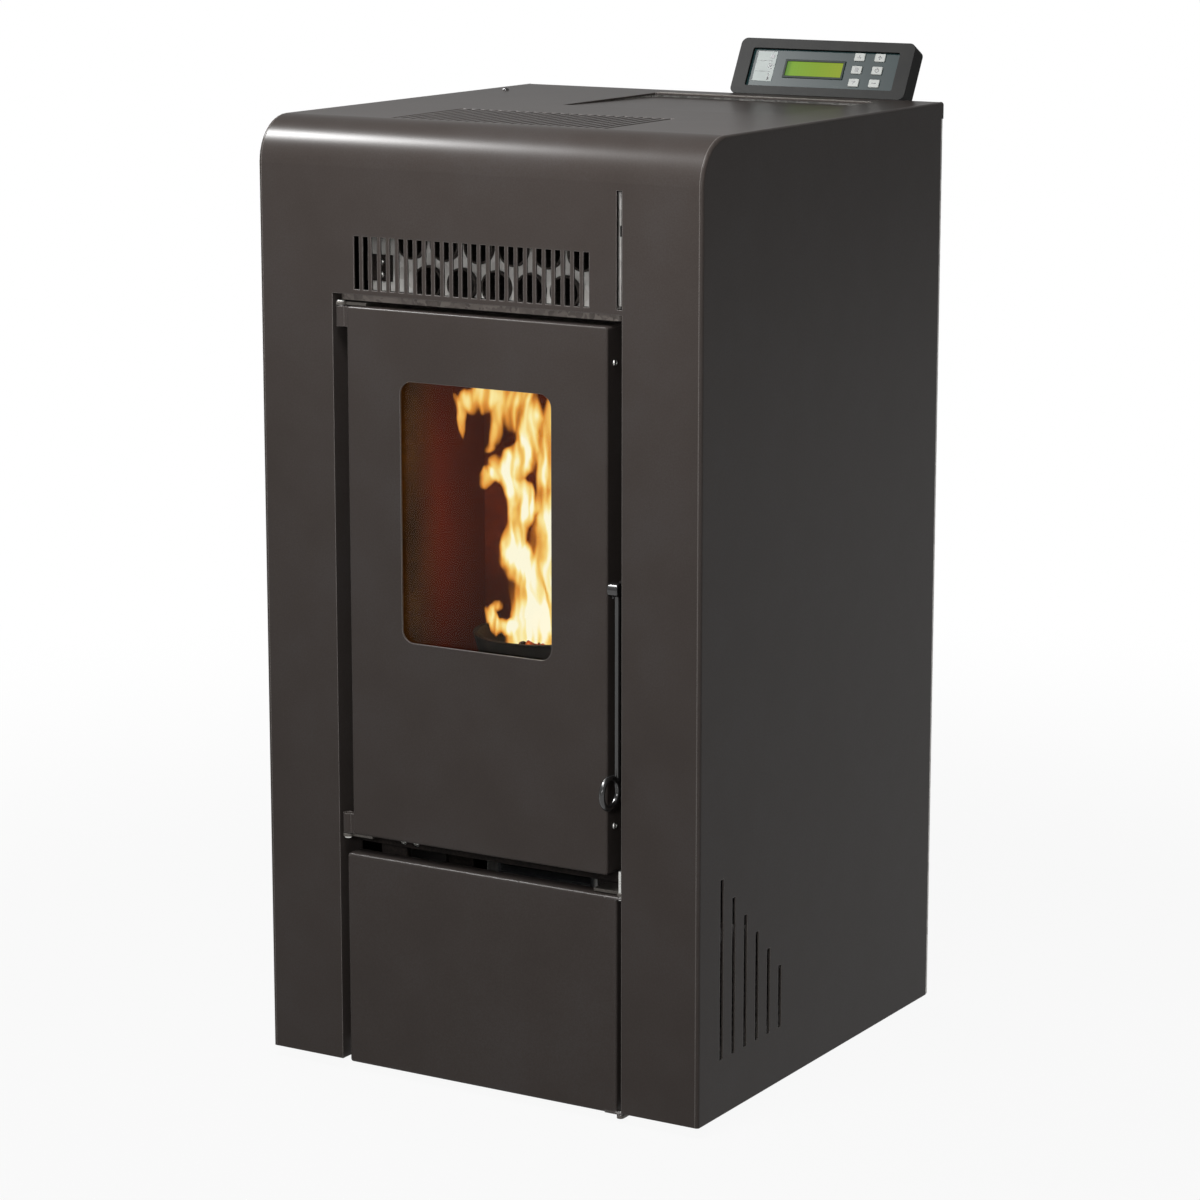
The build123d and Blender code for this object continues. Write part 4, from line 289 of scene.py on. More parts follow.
def cast_iron():
    """Grey iron, sand cast, used in the fire: dark with a grain of 1 mm and rusty-brown ash in it."""
    made, tree, shader = material("cast_iron_sand_cast")
    where = place(tree)
    grain = add(tree, "ShaderNodeTexNoise", {"Vector": where, "Scale": per_mm(1.6), "Detail": 4.0,
                                             "Roughness": 0.65})
    ash = speckle(tree, where, 16.0, 4.0)
    feed(shader, {"Base Color": ramp(tree, ash, [(0.38, "100F0E"), (0.58, "171413"), (0.72, "26211E")]),
                  "Roughness": 0.72, "Specular IOR Level": 0.15})
    relief(tree, shader, grain.outputs["Fac"], 0.35, 0.9, 1.0)
    return made


def ceramic_glass():
    """Glass ceramic, rolled and polished: clear with a faint tea tint, and smoke haze in soft patches."""
    made, tree, shader = material("glass_ceramic_rolled")
    haze = speckle(tree, place(tree), 45.0, 3.0)
    feed(shader, {"Base Color": linear("FBF7EE"), "Roughness": spread(tree, haze, 0.0, 0.03),
                  "Transmission Weight": 1.0, "IOR": 1.52, "Specular Tint": linear("4A4A4A")})
    return made


def moulded(name, code, light, rough, grain_mm=0.9, depth=0.04, level=0.5):
    """A moulded plastic or rubber with a fine spark-eroded grain."""
    made, tree, shader = material(name)
    where = place(tree)
    grain = speckle(tree, where, grain_mm, 3.0)
    colour = ramp(tree, speckle(tree, where, 24.0, 2.0), [(0.35, code), (0.65, light)])
    feed(shader, {"Base Color": colour, "Roughness": spread(tree, grain, *rough),
                  "Specular IOR Level": level})
    relief(tree, shader, grain, depth, 0.7, MOULDED_EDGE)
    return made


# ABS, moulded with a fine texture: the console's case and the sockets.
black_abs = moulded("abs_black_textured", "191918", "20201E", (0.42, 0.56), level=0.06)
# ABS, moulded smooth: white keys.
white_keys = moulded("abs_white_keys", "B9BCB8", "C2C5C1", (0.36, 0.44), 1.5, 0.01, level=0.1)
# Nylon, moulded: the rocker.
black_nylon = moulded("nylon_black_rocker", "1B1B1B", "222222", (0.28, 0.36), 1.5, 0.01)
# Nylon, moulded red: the thermostat's reset button.
red_nylon = moulded("nylon_red_reset", "A31E18", "AE261F", (0.30, 0.38), 1.5, 0.01)
# Rubber, moulded: the feet's pads, matt black.
black_rubber = moulded("rubber_black_moulded", "171717", "202020", (0.66, 0.80), 1.2, 0.08)
# EPDM foam strip: fine open pores about 1 mm wide.
foam_rubber = moulded("epdm_foam_strip", "151515", "222222", (0.85, 0.95), 1.0, 0.4, 0.3)
# Sintered silicon nitride rod: off-white and dry.
igniter_ceramic = moulded("igniter_ceramic_sintered", "B9B2A4", "CFC9BC", (0.55, 0.68), 0.8, 0.05)


def film_plate():
    """Printed polyester film over the console's plate: dark blue-green ink under a satin face."""
    made, tree, shader = material("console_film_printed")
    where = place(tree)
    colour = ramp(tree, speckle(tree, where, 60.0, 2.0), [(0.3, "13282A"), (0.7, "193031")])
    feed(shader, {"Base Color": colour, "Roughness": 0.36, "Specular IOR Level": 0.1})
    relief(tree, shader, speckle(tree, where, 0.8, 2.0), 0.01, 0.4)
    return made


def board_mask():
    """Glass-epoxy board under green solder mask, with a faint lighter track pattern."""
    made, tree, shader = material("circuit_board_solder_mask")
    tracks = add(tree, "ShaderNodeTexBrick", {"Vector": place(tree), "Scale": per_mm(22.0),
                                              "Mortar Size": 0.012, "Color1": linear("17472A"),
                                              "Color2": linear("1B4F2F"), "Mortar": linear("2E7A49")})
    feed(shader, {"Base Color": tracks.outputs["Color"], "Roughness": 0.35})
    return made


def display_film():
    """A back-lit display: yellow-green, darker along its left edge as painted shade, paler to the right,
    with two faint rows of character cells.
    """
    made, tree, shader = material("lcd_backlight_yellow_green")
    where = place(tree)
    flat = add(tree, "ShaderNodeMapping", {"Vector": where, "Rotation": (-CONSOLE_LEAN, 0.0, 0.0)})
    cells = add(tree, "ShaderNodeTexBrick", {"Vector": flat.outputs["Vector"], "Scale": per_mm(CELL_SIZE),
                                             "Mortar Size": 0.10, "Color1": linear("F0F0F0"),
                                             "Color2": linear("F4F4F4"), "Mortar": linear(WHITE)}, offset=0.0)
    across = add(tree, "ShaderNodeSeparateXYZ", {"Vector": where}).outputs["X"]
    share = spread(tree, across, 0.0, 1.0, DISPLAY_LEFT * MM, DISPLAY_RIGHT * MM)
    # Darker green over the left tenth: painted shade beside the rim.
    tint = ramp(tree, share, [(0.0, "4E7A24"), (0.1, "7BA62B"), (0.55, "84A32A"), (1.0, "93A430")])
    feed(shader, {"Base Color": linear("1E2410"), "Roughness": 0.14, "Specular IOR Level": 0.1,
                  "Emission Strength": 0.9,
                  "Emission Color": blend(tree, 1.0, tint, cells.outputs["Color"], "MULTIPLY")})
    return made


# Painted firelight: olive-buff side boards turn red-brown near the flame; the fireback is red-brown.
side_board = vermiculite_board("vermiculite_board_pressed", ("2E2712", "352C15", "3B3118", "42371C"),
                               "5A4E33", "40180B")
back_board = vermiculite_board("vermiculite_board_firelit", ("521F10", "5C2413", "652A17", "6E321D"), "5E3020")

FINISHES = {
    charcoal_coat: ["front_top_cover", "right_side_panel", "left_side_panel", "door_panel", "hopper_lid"],
    fold_highlight_coat: ["lower_panel"],
    galvanised: ["back_panel", "base_tray", "ash_drawer", "air_intake_pipe", "room_fan_housing",
                 "pellet_hopper"],
    lit_zinc: ["tube_plate"],
    phosphated: ["hinge_brackets"],
    stove_paint: ["flue_spigot", "hopper_grid", "door_inner_frame", "door_striker", "console_bracket",
                  "auger_tube", "smoke_duct"],
    soot_paint: ["firebox_body"],
    side_board: ["side_liners"],
    back_board: ["fireback_liner"],
    cast_iron(): ["brazier"],
    igniter_ceramic: ["igniter"],
    heated_steel: ["firebox_header"],
    tube_steel: ["exchanger_tubes"],
    bright_zinc: ["exhaust_impeller", "auger_screw", "glass_clips", "hinge_pins", "casing_screws",
                  "door_screws"],
    cast_aluminium: ["exhaust_blower_housing", "room_fan_rotor"],
    motor_enamel: ["exhaust_motor", "room_fan_motor", "auger_gearmotor"],
    ceramic_glass(): ["door_glass"],
    handle_black: ["door_handle", "scraper_lever"],
    black_abs: ["console_case", "power_inlet", "safety_thermostat"],
    film_plate(): ["console_face"],
    display_film(): ["lcd_window"],
    black_nylon: ["power_switch_rocker"],
    red_nylon: ["reset_button"],
    board_mask(): ["control_board"],
    black_rubber: ["levelling_feet"],
    white_keys: [f"console_button_{number}" for number in range(1, 7)],
}
for finish, names in FINISHES.items():
    for name in names:
        NODES[name].data.materials.clear()
        NODES[name].data.materials.append(finish)


# ================================================================ mesh pieces
def piece(name, points, faces, finish, body, slot=None, bevel_mm=0.0, heats=()):
    """A mesh piece in the row frame, given in millimetres, that rides on a CAD body."""
    mesh = bpy.data.meshes.new(name)
    mesh.from_pydata([Vector(p) * MM for p in points], [], faces)
    shell = bmesh.new()
    shell.from_mesh(mesh)
    bmesh.ops.recalc_face_normals(shell, faces=shell.faces)
    if bevel_mm:
        sharp = [edge for edge in shell.edges if edge.is_manifold and edge.calc_face_angle() > SHARP_ANGLE]
        bmesh.ops.bevel(shell, geom=sharp, offset=bevel_mm * MM, segments=2, affect="EDGES")
    shell.to_mesh(mesh)
    shell.free()
    mesh.materials.append(finish)
    mesh.shade_smooth()
    mesh.set_sharp_from_angle(angle=SHARP_ANGLE)
    if heats:
        mesh.attributes.new("flame_heat", "FLOAT", "POINT").data.foreach_set("value", heats)
    made = bpy.data.objects.new(name, mesh)
    bpy.context.scene.collection.objects.link(made)
    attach(made, body)
    return made


def together(shapes):
    """One list of points and one of faces from several shapes' own."""
    points = []
    faces = []
    for shape_points, shape_faces in shapes:
        faces.extend(tuple(len(points) + corner for corner in face) for face in shape_faces)
        points.extend(shape_points)
    return points, faces


def slab(outline, thickness):
    """Points and faces of an outline of 3D points given a thickness, which is a vector."""
    count = len(outline)
    points = list(outline) + [point + thickness for point in outline]
    faces = [tuple(range(count)), tuple(range(2 * count - 1, count - 1, -1))]
    for here in range(count):
        following = (here + 1) % count
        faces.append((here, following, following + count, here + count))
    return points, faces


def ring_faces(rings, spokes):
    """Faces between rings of points, each ring with that many spokes."""
    faces = []
    for ring in range(rings - 1):
        for spoke in range(spokes):
            here = ring * spokes + spoke
            there = ring * spokes + (spoke + 1) % spokes
            faces.append((here, there, there + spokes, here + spokes))
    return faces


# ---- strips that run round the door, the window and the lid
def rounded_loop(half_u, half_v, radius, pitch):
    """Places round a rectangle with rounded corners, with their outward ways."""
    corners = ((1, 1), (-1, 1), (-1, -1), (1, -1))
    loop = []
    for index, (hand_u, hand_v) in enumerate(corners):
        centre = Vector((hand_u * (half_u - radius), hand_v * (half_v - radius)))
        turns = max(3, round(radius * math.pi / 2 / pitch))
        for step in range(turns + 1):
            angle = math.pi / 2 * (index + step / turns)
            out = Vector((math.cos(angle), math.sin(angle)))
            loop.append((centre + out * radius, out))
        next_u, next_v = corners[(index + 1) % 4]
        start = loop[-1][0]
        end = Vector((next_u * (half_u - radius), next_v * (half_v - radius))) + out * radius
        steps = max(1, round((end - start).length / pitch))
        loop.extend((start.lerp(end, step / steps), out) for step in range(1, steps))
    return loop


def strip(name, loop, section, middle, ways, finish, body, slot, node):
    """A closed strip round a loop, in place of a CAD node. section gives each ring's (side, deep) points;
    ways are the loop's two ways and the deep one."""
    middle = Vector(middle)
    along_u, along_v, deep = (Vector(way) for way in ways)
    points = []
    faces = []
    length = 0.0
    for index, (spot, out) in enumerate(loop):
        ring = section(spot, out, length)
        for side, rise in ring:
            flat = spot + out * side
            points.append(middle + along_u * flat.x + along_v * flat.y + deep * rise)
        following = (index + 1) % len(loop)
        length += (loop[following][0] - spot).length
        around = len(ring)
        for spoke in range(around):
            step = (spoke + 1) % around
            faces.append((index * around + spoke, index * around + step,
                          following * around + step, following * around + spoke))
    made = piece(name, points, faces, finish, body, slot)
    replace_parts(made, node)


def squircle(turn, fullness):
    """Side and rise, up to 1, at an angle round a section between an ellipse and a rectangle."""
    side = math.copysign(abs(math.cos(turn)) ** fullness, math.cos(turn))
    rise = math.copysign(abs(math.sin(turn)) ** fullness, math.sin(turn))
    return side, rise


ROPE_SPOKES = 20
ROPE_HALF_WIDE, ROPE_HALF_DEEP = 5.0, 4.35
ROPE_FULLNESS = 0.7
ROPE_YARNS = 6
YARN_STEP = 3.7                         # along the rope from one yarn to the next, mm
YARN_GROOVE = 0.13                      # depth of the grooves, share of the rope's half width
YARN_RISE, YARN_WEAVE = 0.75, 0.25      # a yarn's mean height, and how far it goes over and under
TAPE_SPOKES = 14
TAPE_HALF_WIDE = 4.5
TAPE_FULLNESS = 0.35
SEAL_HALF_WIDE = 3.0
SEAL_PROFILE = ((-SEAL_HALF_WIDE, 1.8), (-2.4, 0.6), (-1.2, 0.0), (1.2, 0.0), (2.4, 0.6),
                (SEAL_HALF_WIDE, 1.8))
SEAL_FOOT = 949.8                       # level of the foam's lowest line
LID_UNDER, LID_SLOPE = 957.5, 0.0164    # the lid's underside at the loop's middle, and its fall to the rear


def rope_section(spot, out, length):
    """Braided rope: yarns run both ways round it, over and under each other."""
    ring = []
    run = math.tau * length / YARN_STEP
    for spoke in range(ROPE_SPOKES):
        turn = math.tau * spoke / ROPE_SPOKES
        over = YARN_WEAVE * math.sin(ROPE_YARNS * turn) * math.sin(run)
        right = abs(math.cos((ROPE_YARNS * turn + run) / 2)) * (YARN_RISE + over)
        left = abs(math.cos((ROPE_YARNS * turn - run) / 2)) * (YARN_RISE - over)
        full = 1.0 - YARN_GROOVE * (1.0 - max(right, left))
        side, rise = squircle(turn, ROPE_FULLNESS)
        ring.append((side * ROPE_HALF_WIDE * full, rise * ROPE_HALF_DEEP * full))
    return ring


def tape_section(spot, out, length):
    """Flat woven tape, 9 by 2 mm, with soft edges."""
    ring = []
    for spoke in range(TAPE_SPOKES):
        side, rise = squircle(math.tau * spoke / TAPE_SPOKES, TAPE_FULLNESS)
        ring.append((side * TAPE_HALF_WIDE, rise))
    return ring


def seal_section(spot, out, length):
    """Foam strip under the lid: flat on the lid, which slopes, and round below."""
    ring = [(side, SEAL_FOOT + low) for side, low in SEAL_PROFILE]
    for side in (SEAL_HALF_WIDE, -SEAL_HALF_WIDE):
        ring.append((side, LID_UNDER - (spot.y + out.y * side) * LID_SLOPE))
    return ring


def fibre_yarn(name, code, dark, light, yarn_mm):
    """Glass fibre yarn: matt, with fine filaments along it that show as a faint grain."""
    made, tree, shader = material(name)
    where = place(tree)
    yarns = speckle(tree, where, yarn_mm, 4.0)
    soil = speckle(tree, where, 38.0, 2.0)
    colour = ramp(tree, average(tree, yarns, soil), [(0.38, dark), (0.5, code), (0.62, light)])
    feed(shader, {"Base Color": colour, "Roughness": 0.9, "Sheen Weight": 0.3, "Sheen Roughness": 0.5})
    relief(tree, shader, yarns, 0.25, 0.8)
    return made


# Glass fibre rope, braided and dipped: dark grey, with yarns that catch light singly.
rope_yarn = fibre_yarn("glass_fibre_rope_braided", "5E5B56", "45423E", "77736C", 1.0)
# Glass fibre tape, woven and self-adhesive: paler, scorched a little.
tape_yarn = fibre_yarn("glass_fibre_tape_woven", "8C8578", "6A6153", "A39C8E", 1.2)

STANDING = ((1, 0, 0), (0, 0, 1), (0, 1, 0))     # right, up and to the rear
LYING = ((1, 0, 0), (0, 1, 0), (0, 0, 1))        # right, to the rear and up
strip("rope_gasket_braided", rounded_loop(136.0, 254.0, 6.0, 1.5), rope_section, (0.0, -237.65, 516.0),
      STANDING, rope_yarn, "fire_door", "rope", "door_rope_gasket")
strip("glass_tape_woven", rounded_loop(94.5, 138.0, 5.0, 6.0), tape_section, (0.0, -264.0, 583.5),
      STANDING, tape_yarn, "fire_door", "rope", "glass_gasket")
strip("lid_seal_foam", rounded_loop(116.0, 81.0, 3.2, 6.0), seal_section, (62.0, 98.0, 0.0),
      LYING, foam_rubber, "lid", "seal_rubber", "lid_seal_strip")


# ---- screw heads
HEAD_HEIGHT = 2.2
HEAD_PROFILE = [(3.5, 0.0), (3.5, 0.8), (3.2, 1.5), (2.6, 2.0)]
HEAD_PROFILE += [(radius, HEAD_HEIGHT) for radius in (1.9, 1.6, 1.3, 1.0, 0.7, 0.4)]
HEAD_SPOKES = 32
CROSS_REACH = 1.8
CROSS_HALF = 0.45
CROSS_DEPTH = 1.2


def pan_head(spot, way, turn):
    """A pan head, 7 mm across, with a cross recess, standing on spot."""
    way = Vector(way)
    across = way.orthogonal().normalized()
    other = way.cross(across)
    points = []
    for radius, rise in HEAD_PROFILE:
        for spoke in range(HEAD_SPOKES):
            angle = math.tau * spoke / HEAD_SPOKES
            arm = min(abs(radius * math.cos(angle)), abs(radius * math.sin(angle)))
            sunk = CROSS_DEPTH if radius < CROSS_REACH and arm < CROSS_HALF else 0.0
            side = across * math.cos(angle + turn) + other * math.sin(angle + turn)
            points.append(Vector(spot) + side * radius + way * (rise - sunk))
    points.append(Vector(spot) + way * (HEAD_HEIGHT - CROSS_DEPTH))
    faces = [tuple(range(HEAD_SPOKES)), *ring_faces(len(HEAD_PROFILE), HEAD_SPOKES)]
    last = (len(HEAD_PROFILE) - 1) * HEAD_SPOKES
    for spoke in range(HEAD_SPOKES):
        faces.append((last + spoke, last + (spoke + 1) % HEAD_SPOKES, len(points) - 1))
    return points, faces


def heads(places):
    """Several pan heads, each turned as a driver leaves it."""
    return together([pan_head(spot, way, random.uniform(0.0, math.pi)) for spot, way in places])


door_heads = [((148.0, -253.5, level), (1, 0, 0)) for level in (297.0, 747.0)]
door_heads += [((hand * 107.0, -257.0, level), (0, 1, 0)) for hand in (-1, 1) for level in (490.3, 676.7)]
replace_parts(piece("door_screw_heads", *heads(door_heads), bright_zinc, "fire_door", "zinc_screws"),
            "door_screws")

casing_heads = [((across, -233.0, 240.0), (0, -1, 0)) for across in (-109.0, -94.0)]
casing_heads += [((hand * 241.0, 233.0, level), (0, 1, 0)) for hand in (-1, 1)
                 for level in (77.0, 344.7, 612.3, 880.0)]
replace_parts(piece("casing_screw_heads", *heads(casing_heads), bright_zinc, "stove", "zinc_screws"),
            "casing_screws")


# ---- the fire
def burning_gas():
    """Wood flame: it has no surface of its own, only light, pale where hot and deep orange where thin."""
    made, tree, shader = material("wood_flame_burning_gas")
    heat = add(tree, "ShaderNodeAttribute", attribute_name="flame_heat").outputs["Fac"]
    colour = ramp(tree, heat, [(0.0, "D2842E"), (0.2, "C87626"), (0.45, "DE9238"), (0.66, "F4C96A"),
                               (0.86, "FCEFAC"), (1.0, "FFFEE8")])
    feed(shader, {"Base Color": linear("000000"), "Specular IOR Level": 0.0, "Roughness": 1.0,
                  "Emission Strength": 1.05, "Emission Color": colour,
                  "Alpha": spread(tree, heat, 0.0, 0.96, 0.08, 0.48, "SMOOTHSTEP")})
    return made


def ember():
    """Burning pellets: charred black with glowing cracks, orange where air reaches them."""
    made, tree, shader = material("wood_pellet_charring")
    where = place(tree)
    glow = ramp(tree, speckle(tree, where, 14.0, 4.0), [(0.44, "000000"), (0.56, "B23A06"), (0.68, "FFA838")])
    bark = speckle(tree, where, 1.5, 3.0)
    feed(shader, {"Base Color": ramp(tree, bark, [(0.35, "120F0D"), (0.65, "2C2622")]), "Roughness": 0.92,
                  "Emission Color": glow, "Emission Strength": 1.0})
    relief(tree, shader, bark, 0.4, 0.9)
    return made


flame_gas = burning_gas()
pellet_ember = ember()

# Tongues of flame: runs of (x, z, half width, heat), in millimetres over the brazier.
STEM = ((0, 440, 50, 1.6), (-5, 470, 34, 1.9), (-8, 505, 30, 1.7), (-36, 530, 18, 1.6), (-30, 560, 16, 1.3),
        (-22, 585, 22, 1.8), (-42, 612, 18, 1.7), (-15, 640, 16, 1.1), (-8, 670, 18, 1.2),
        (-20, 700, 20, 1.0), (-30, 740, 22, 0.7))
BRANCH = ((16, 440, 42, 1.7), (14, 490, 34, 1.7), (10, 540, 26, 1.4), (16, 590, 26, 1.5), (8, 630, 18, 1.2),
          (26, 690, 18, 0.8))
CURL = ((-20, 450, 14, 1.4), (-55, 458, 10, 1.1), (-66, 470, 8, 0.9), (-52, 480, 6, 0.8))
HOOK = ((-42, 610, 12, 1.4), (-60, 600, 9, 1.0), (-66, 588, 5, 0.7))
CREST = ((-15, 674, 24, 1.1), (-48, 684, 22, 1.0), (-80, 686, 18, 1.0), (-100, 674, 10, 1.0),
         (-94, 646, 6, 0.6))
DROP = ((-40, 682, 13, 1.2), (-54, 660, 10, 1.0), (-58, 630, 5, 0.7))
REAR = ((10, 440, 50, 1.3), (36, 500, 34, 1.2), (24, 560, 32, 1.0), (44, 620, 28, 0.9), (26, 680, 24, 0.8))

# Swirls that bend the flames: size, upward stretch, seed, and push to the side and up, in millimetres.
SWIRLS = ((30.0, 0.6, 0.0, 8.0, 14.0), (11.0, 0.5, 90.0, 4.0, 8.0), (4.5, 0.45, 170.0, 1.5, 3.0))
TONGUE_FULLNESS = 0.75                  # how a tongue's heat falls off to its sides
EVEN_HEAT, STREAK_HEAT, PATCH_HEAT = 0.70, 0.48, 0.38
STREAK_SIZE, PATCH_SIZE = (6.0, 55.0), (22.0, 34.0)     # mm, across and up
LEAST_HEAT = 0.03                       # below it a flame's sheet is left out
FIRE_LEFT, FIRE_RIGHT = -114.0, 66.0
FIRE_LOW, FIRE_HIGH = 430.0, 752.0
FIRE_STEP = 1.6
FIRE_BOW, BOW_SIZE = 12.0, (45.0, 70.0)     # how far a flame's sheet bends to front and rear, over what size
OTHER_PLACE = Vector((31.4, 17.2, 5.8))


def drift(spot):
    """Two smooth values from -1 to 1 that change with the spot, the same on each run."""
    return noise.noise(spot), noise.noise(spot + OTHER_PLACE)


def ripple(across, level, size, seed):
    """A smooth value from -1 to 1, with features of that size across and up."""
    return noise.noise(Vector((across / size[0], level / size[1], seed)))


def heat_at(across, level, tongues, seed):
    """Heat of a flame at a place: 0 outside its tongues, above 1 where it is brightest."""
    x, z = across, level
    for size, stretch, offset, push_x, push_z in SWIRLS:
        side, rise = drift(Vector((across, level * stretch, seed + offset)) / size)
        x += push_x * side
        z += push_z * rise
    best = 0.0
    for tongue in tongues:
        for (x0, z0, wide0, heat0), (x1, z1, wide1, heat1) in zip(tongue, tongue[1:]):
            run_x, run_z = x1 - x0, z1 - z0
            share = ((x - x0) * run_x + (z - z0) * run_z) / (run_x * run_x + run_z * run_z)
            share = min(1.0, max(0.0, share))
            wide = wide0 + (wide1 - wide0) * share
            off = math.hypot(x - x0 - run_x * share, z - z0 - run_z * share) / wide
            if off < 1.0:
                best = max(best, (heat0 + (heat1 - heat0) * share) * (1.0 - off * off) ** TONGUE_FULLNESS)
    streak = ripple(x, z, STREAK_SIZE, seed + 5.0)
    patch = ripple(x, z, PATCH_SIZE, seed + 40.0)
    return best * (EVEN_HEAT + STREAK_HEAT * streak + PATCH_HEAT * patch)


def flame(name, depth, tongues, seed, share):
    """One thin curved sheet of flame at a depth, with that share of its tongues' heat; its empty places
    are left out."""
    columns = int((FIRE_RIGHT - FIRE_LEFT) / FIRE_STEP) + 1
    rows = int((FIRE_HIGH - FIRE_LOW) / FIRE_STEP) + 1
    grid = []
    for row in range(rows):
        level = FIRE_LOW + row * FIRE_STEP
        for column in range(columns):
            across = FIRE_LEFT + column * FIRE_STEP
            bow = FIRE_BOW * ripple(across, level, BOW_SIZE, seed)
            heat = share * heat_at(across, level, tongues, seed)
            grid.append((Vector((across, depth + bow, level)), heat))
    faces = []
    for row in range(rows - 1):
        for column in range(columns - 1):
            here = row * columns + column
            corners = (here, here + 1, here + 1 + columns, here + columns)
            if max(grid[corner][1] for corner in corners) > LEAST_HEAT:
                faces.append(corners)
    used = sorted({corner for face in faces for corner in face})
    number = {corner: index for index, corner in enumerate(used)}
    piece(name, [grid[corner][0] for corner in used],
          [tuple(number[corner] for corner in face) for face in faces], flame_gas, "stove",
          heats=[grid[corner][1] for corner in used])


BRAZIER_DEPTH = -142.0
flame("flame_tall", BRAZIER_DEPTH, (STEM, BRANCH, CURL, HOOK, CREST, DROP), 19.0, 0.9)
flame("flame_rear", -112.0, (REAR,), 11.0, 0.8)

PELLET_SPOKES = 8
PELLET_RADIUS, PELLET_END = 3.0, 2.3
PELLET_WORN = 0.7                       # length of the worn edge at each end
BED_LAYERS = ((50, 399.0), (60, 409.0), (60, 419.0), (50, 427.0))     # how many pellets, at what level
BED_REACH, BED_HEAP, BED_LOOSE = 46.0, 10.0, 3.0


def pellet(spot, way, length):
    """A wood pellet, 6 mm thick, broken off square, with its ends a little worn."""
    way = way.normalized()
    across = way.orthogonal().normalized()
    other = way.cross(across)
    rings = ((0.0, PELLET_END), (PELLET_WORN, PELLET_RADIUS), (length - PELLET_WORN, PELLET_RADIUS),
             (length, PELLET_END))
    points = []
    for along, radius in rings:
        for spoke in range(PELLET_SPOKES):
            angle = math.tau * spoke / PELLET_SPOKES
            points.append(spot + way * (along - length / 2)
                          + (across * math.cos(angle) + other * math.sin(angle)) * radius)
    ends = [tuple(range(PELLET_SPOKES)), tuple(range(3 * PELLET_SPOKES, 4 * PELLET_SPOKES))]
    return points, ends + ring_faces(len(rings), PELLET_SPOKES)


def ember_bed():
    """Pellets heaped in the brazier, highest in the middle."""
    shapes = []
    for count, low in BED_LAYERS:
        for _ in range(count):
            angle = random.uniform(0.0, math.tau)
            reach = BED_REACH * math.sqrt(random.random())
            heap = BED_HEAP * (1.0 - (reach / BED_REACH) ** 2)
            spot = Vector((reach * math.cos(angle), BRAZIER_DEPTH + reach * math.sin(angle),
                           low + heap + random.uniform(-BED_LOOSE, BED_LOOSE)))
            way = Vector((random.uniform(-1, 1), random.uniform(-1, 1), random.uniform(-0.4, 0.4) + 0.01))
            shapes.append(pellet(spot, way, random.uniform(9.0, 18.0)))
    return together(shapes)


piece("pellets_burning", *ember_bed(), pellet_ember, "stove")


# ---- the console's printing
CONSOLE_CORNER = Vector((-1.0, 233.8, 962.0))
CONSOLE_RIGHT = Vector((1.0, 0.0, 0.0))
CONSOLE_UP = Vector((0.0, LEAN_BACK, LEAN_UP))
CONSOLE_OUT = Vector((0.0, -LEAN_UP, LEAN_BACK))
FACE_SUNK = 3.0         # the printed face below the case's front
KEY_STAND = 1.2         # the keys above the printed face
KEY_COLUMNS = (141.4, 165.0)
KEY_ROWS = (47.0, 32.5, 18.0)
LABEL_THICK, MARK_THICK, RULE_THICK, KEY_INK = 0.25, 0.1, 0.06, 0.08
LABEL_ACROSS = 39.6     # the label's signs, from the console's left
BLADE_TURN = 48.0       # degrees that a blade of the fan sign takes up
DISPLAY_MIDDLE, DISPLAY_HALF = (91.5, 31.25), (33.0, 8.25)
RIM_WIDE, RIM_HIGH = 2.2, 0.8
ARROW_HALF, ARROW_FOOT, ARROW_TIP = 2.2, 1.6, 2.0
SIGN_HALF, SIGN_THIN = 2.4, 0.55


def printing(name, outlines, level, thickness, finish, body):
    """Thin flat shapes on the console: outlines of (right, up) points, level above the printed face."""
    shapes = []
    for outline in outlines:
        line = [CONSOLE_CORNER + CONSOLE_RIGHT * right + CONSOLE_UP * up + CONSOLE_OUT * (level - FACE_SUNK)
                for right, up in outline]
        shapes.append(slab(line, CONSOLE_OUT * thickness))
    return piece(name, *together(shapes), finish, body)


def block(right, up, half_right, half_up, corner=0.0):
    """Outline of a rectangle about a place, with rounded corners where asked."""
    if not corner:
        return [(right - half_right, up - half_up), (right + half_right, up - half_up),
                (right + half_right, up + half_up), (right - half_right, up + half_up)]
    return [(right + spot.x, up + spot.y) for spot, _ in rounded_loop(half_right, half_up, corner, 50.0)]


def arc_band(right, up, inner, outer, start, end, steps=14):
    """Outline of part of a ring, from one angle to another in degrees."""
    angles = [math.radians(start + (end - start) * step / steps) for step in range(steps + 1)]
    places = [(outer, angle) for angle in angles] + [(inner, angle) for angle in reversed(angles)]
    return [(right + radius * math.cos(angle), up + radius * math.sin(angle)) for radius, angle in places]


def flame_mark(right, up, size):
    """Outline of a small flame."""
    line = ((0.0, -0.5), (0.3, -0.42), (0.42, -0.15), (0.34, 0.1), (0.16, 0.3), (0.1, 0.56), (-0.08, 0.3),
            (-0.16, 0.12), (-0.26, 0.2), (-0.4, -0.1), (-0.34, -0.38))
    return [(right + across * size, up + rise * size) for across, rise in line]


def fan_mark(right, up, size):
    """Outlines of a fan's four blades and hub."""
    blades = [arc_band(right, up, size * 0.14, size * 0.5, quarter * 90.0, quarter * 90.0 + BLADE_TURN, 6)
              for quarter in range(4)]
    return blades + [arc_band(right, up, 0.0, size * 0.1, 0.0, 350.0, 10)]


def warmth_mark(right, up, size):
    """Outlines of a thermometer."""
    return [block(right, up + size * 0.12, size * 0.1, size * 0.36),
            arc_band(right, up - size * 0.32, 0.0, size * 0.2, 0.0, 350.0, 12)]


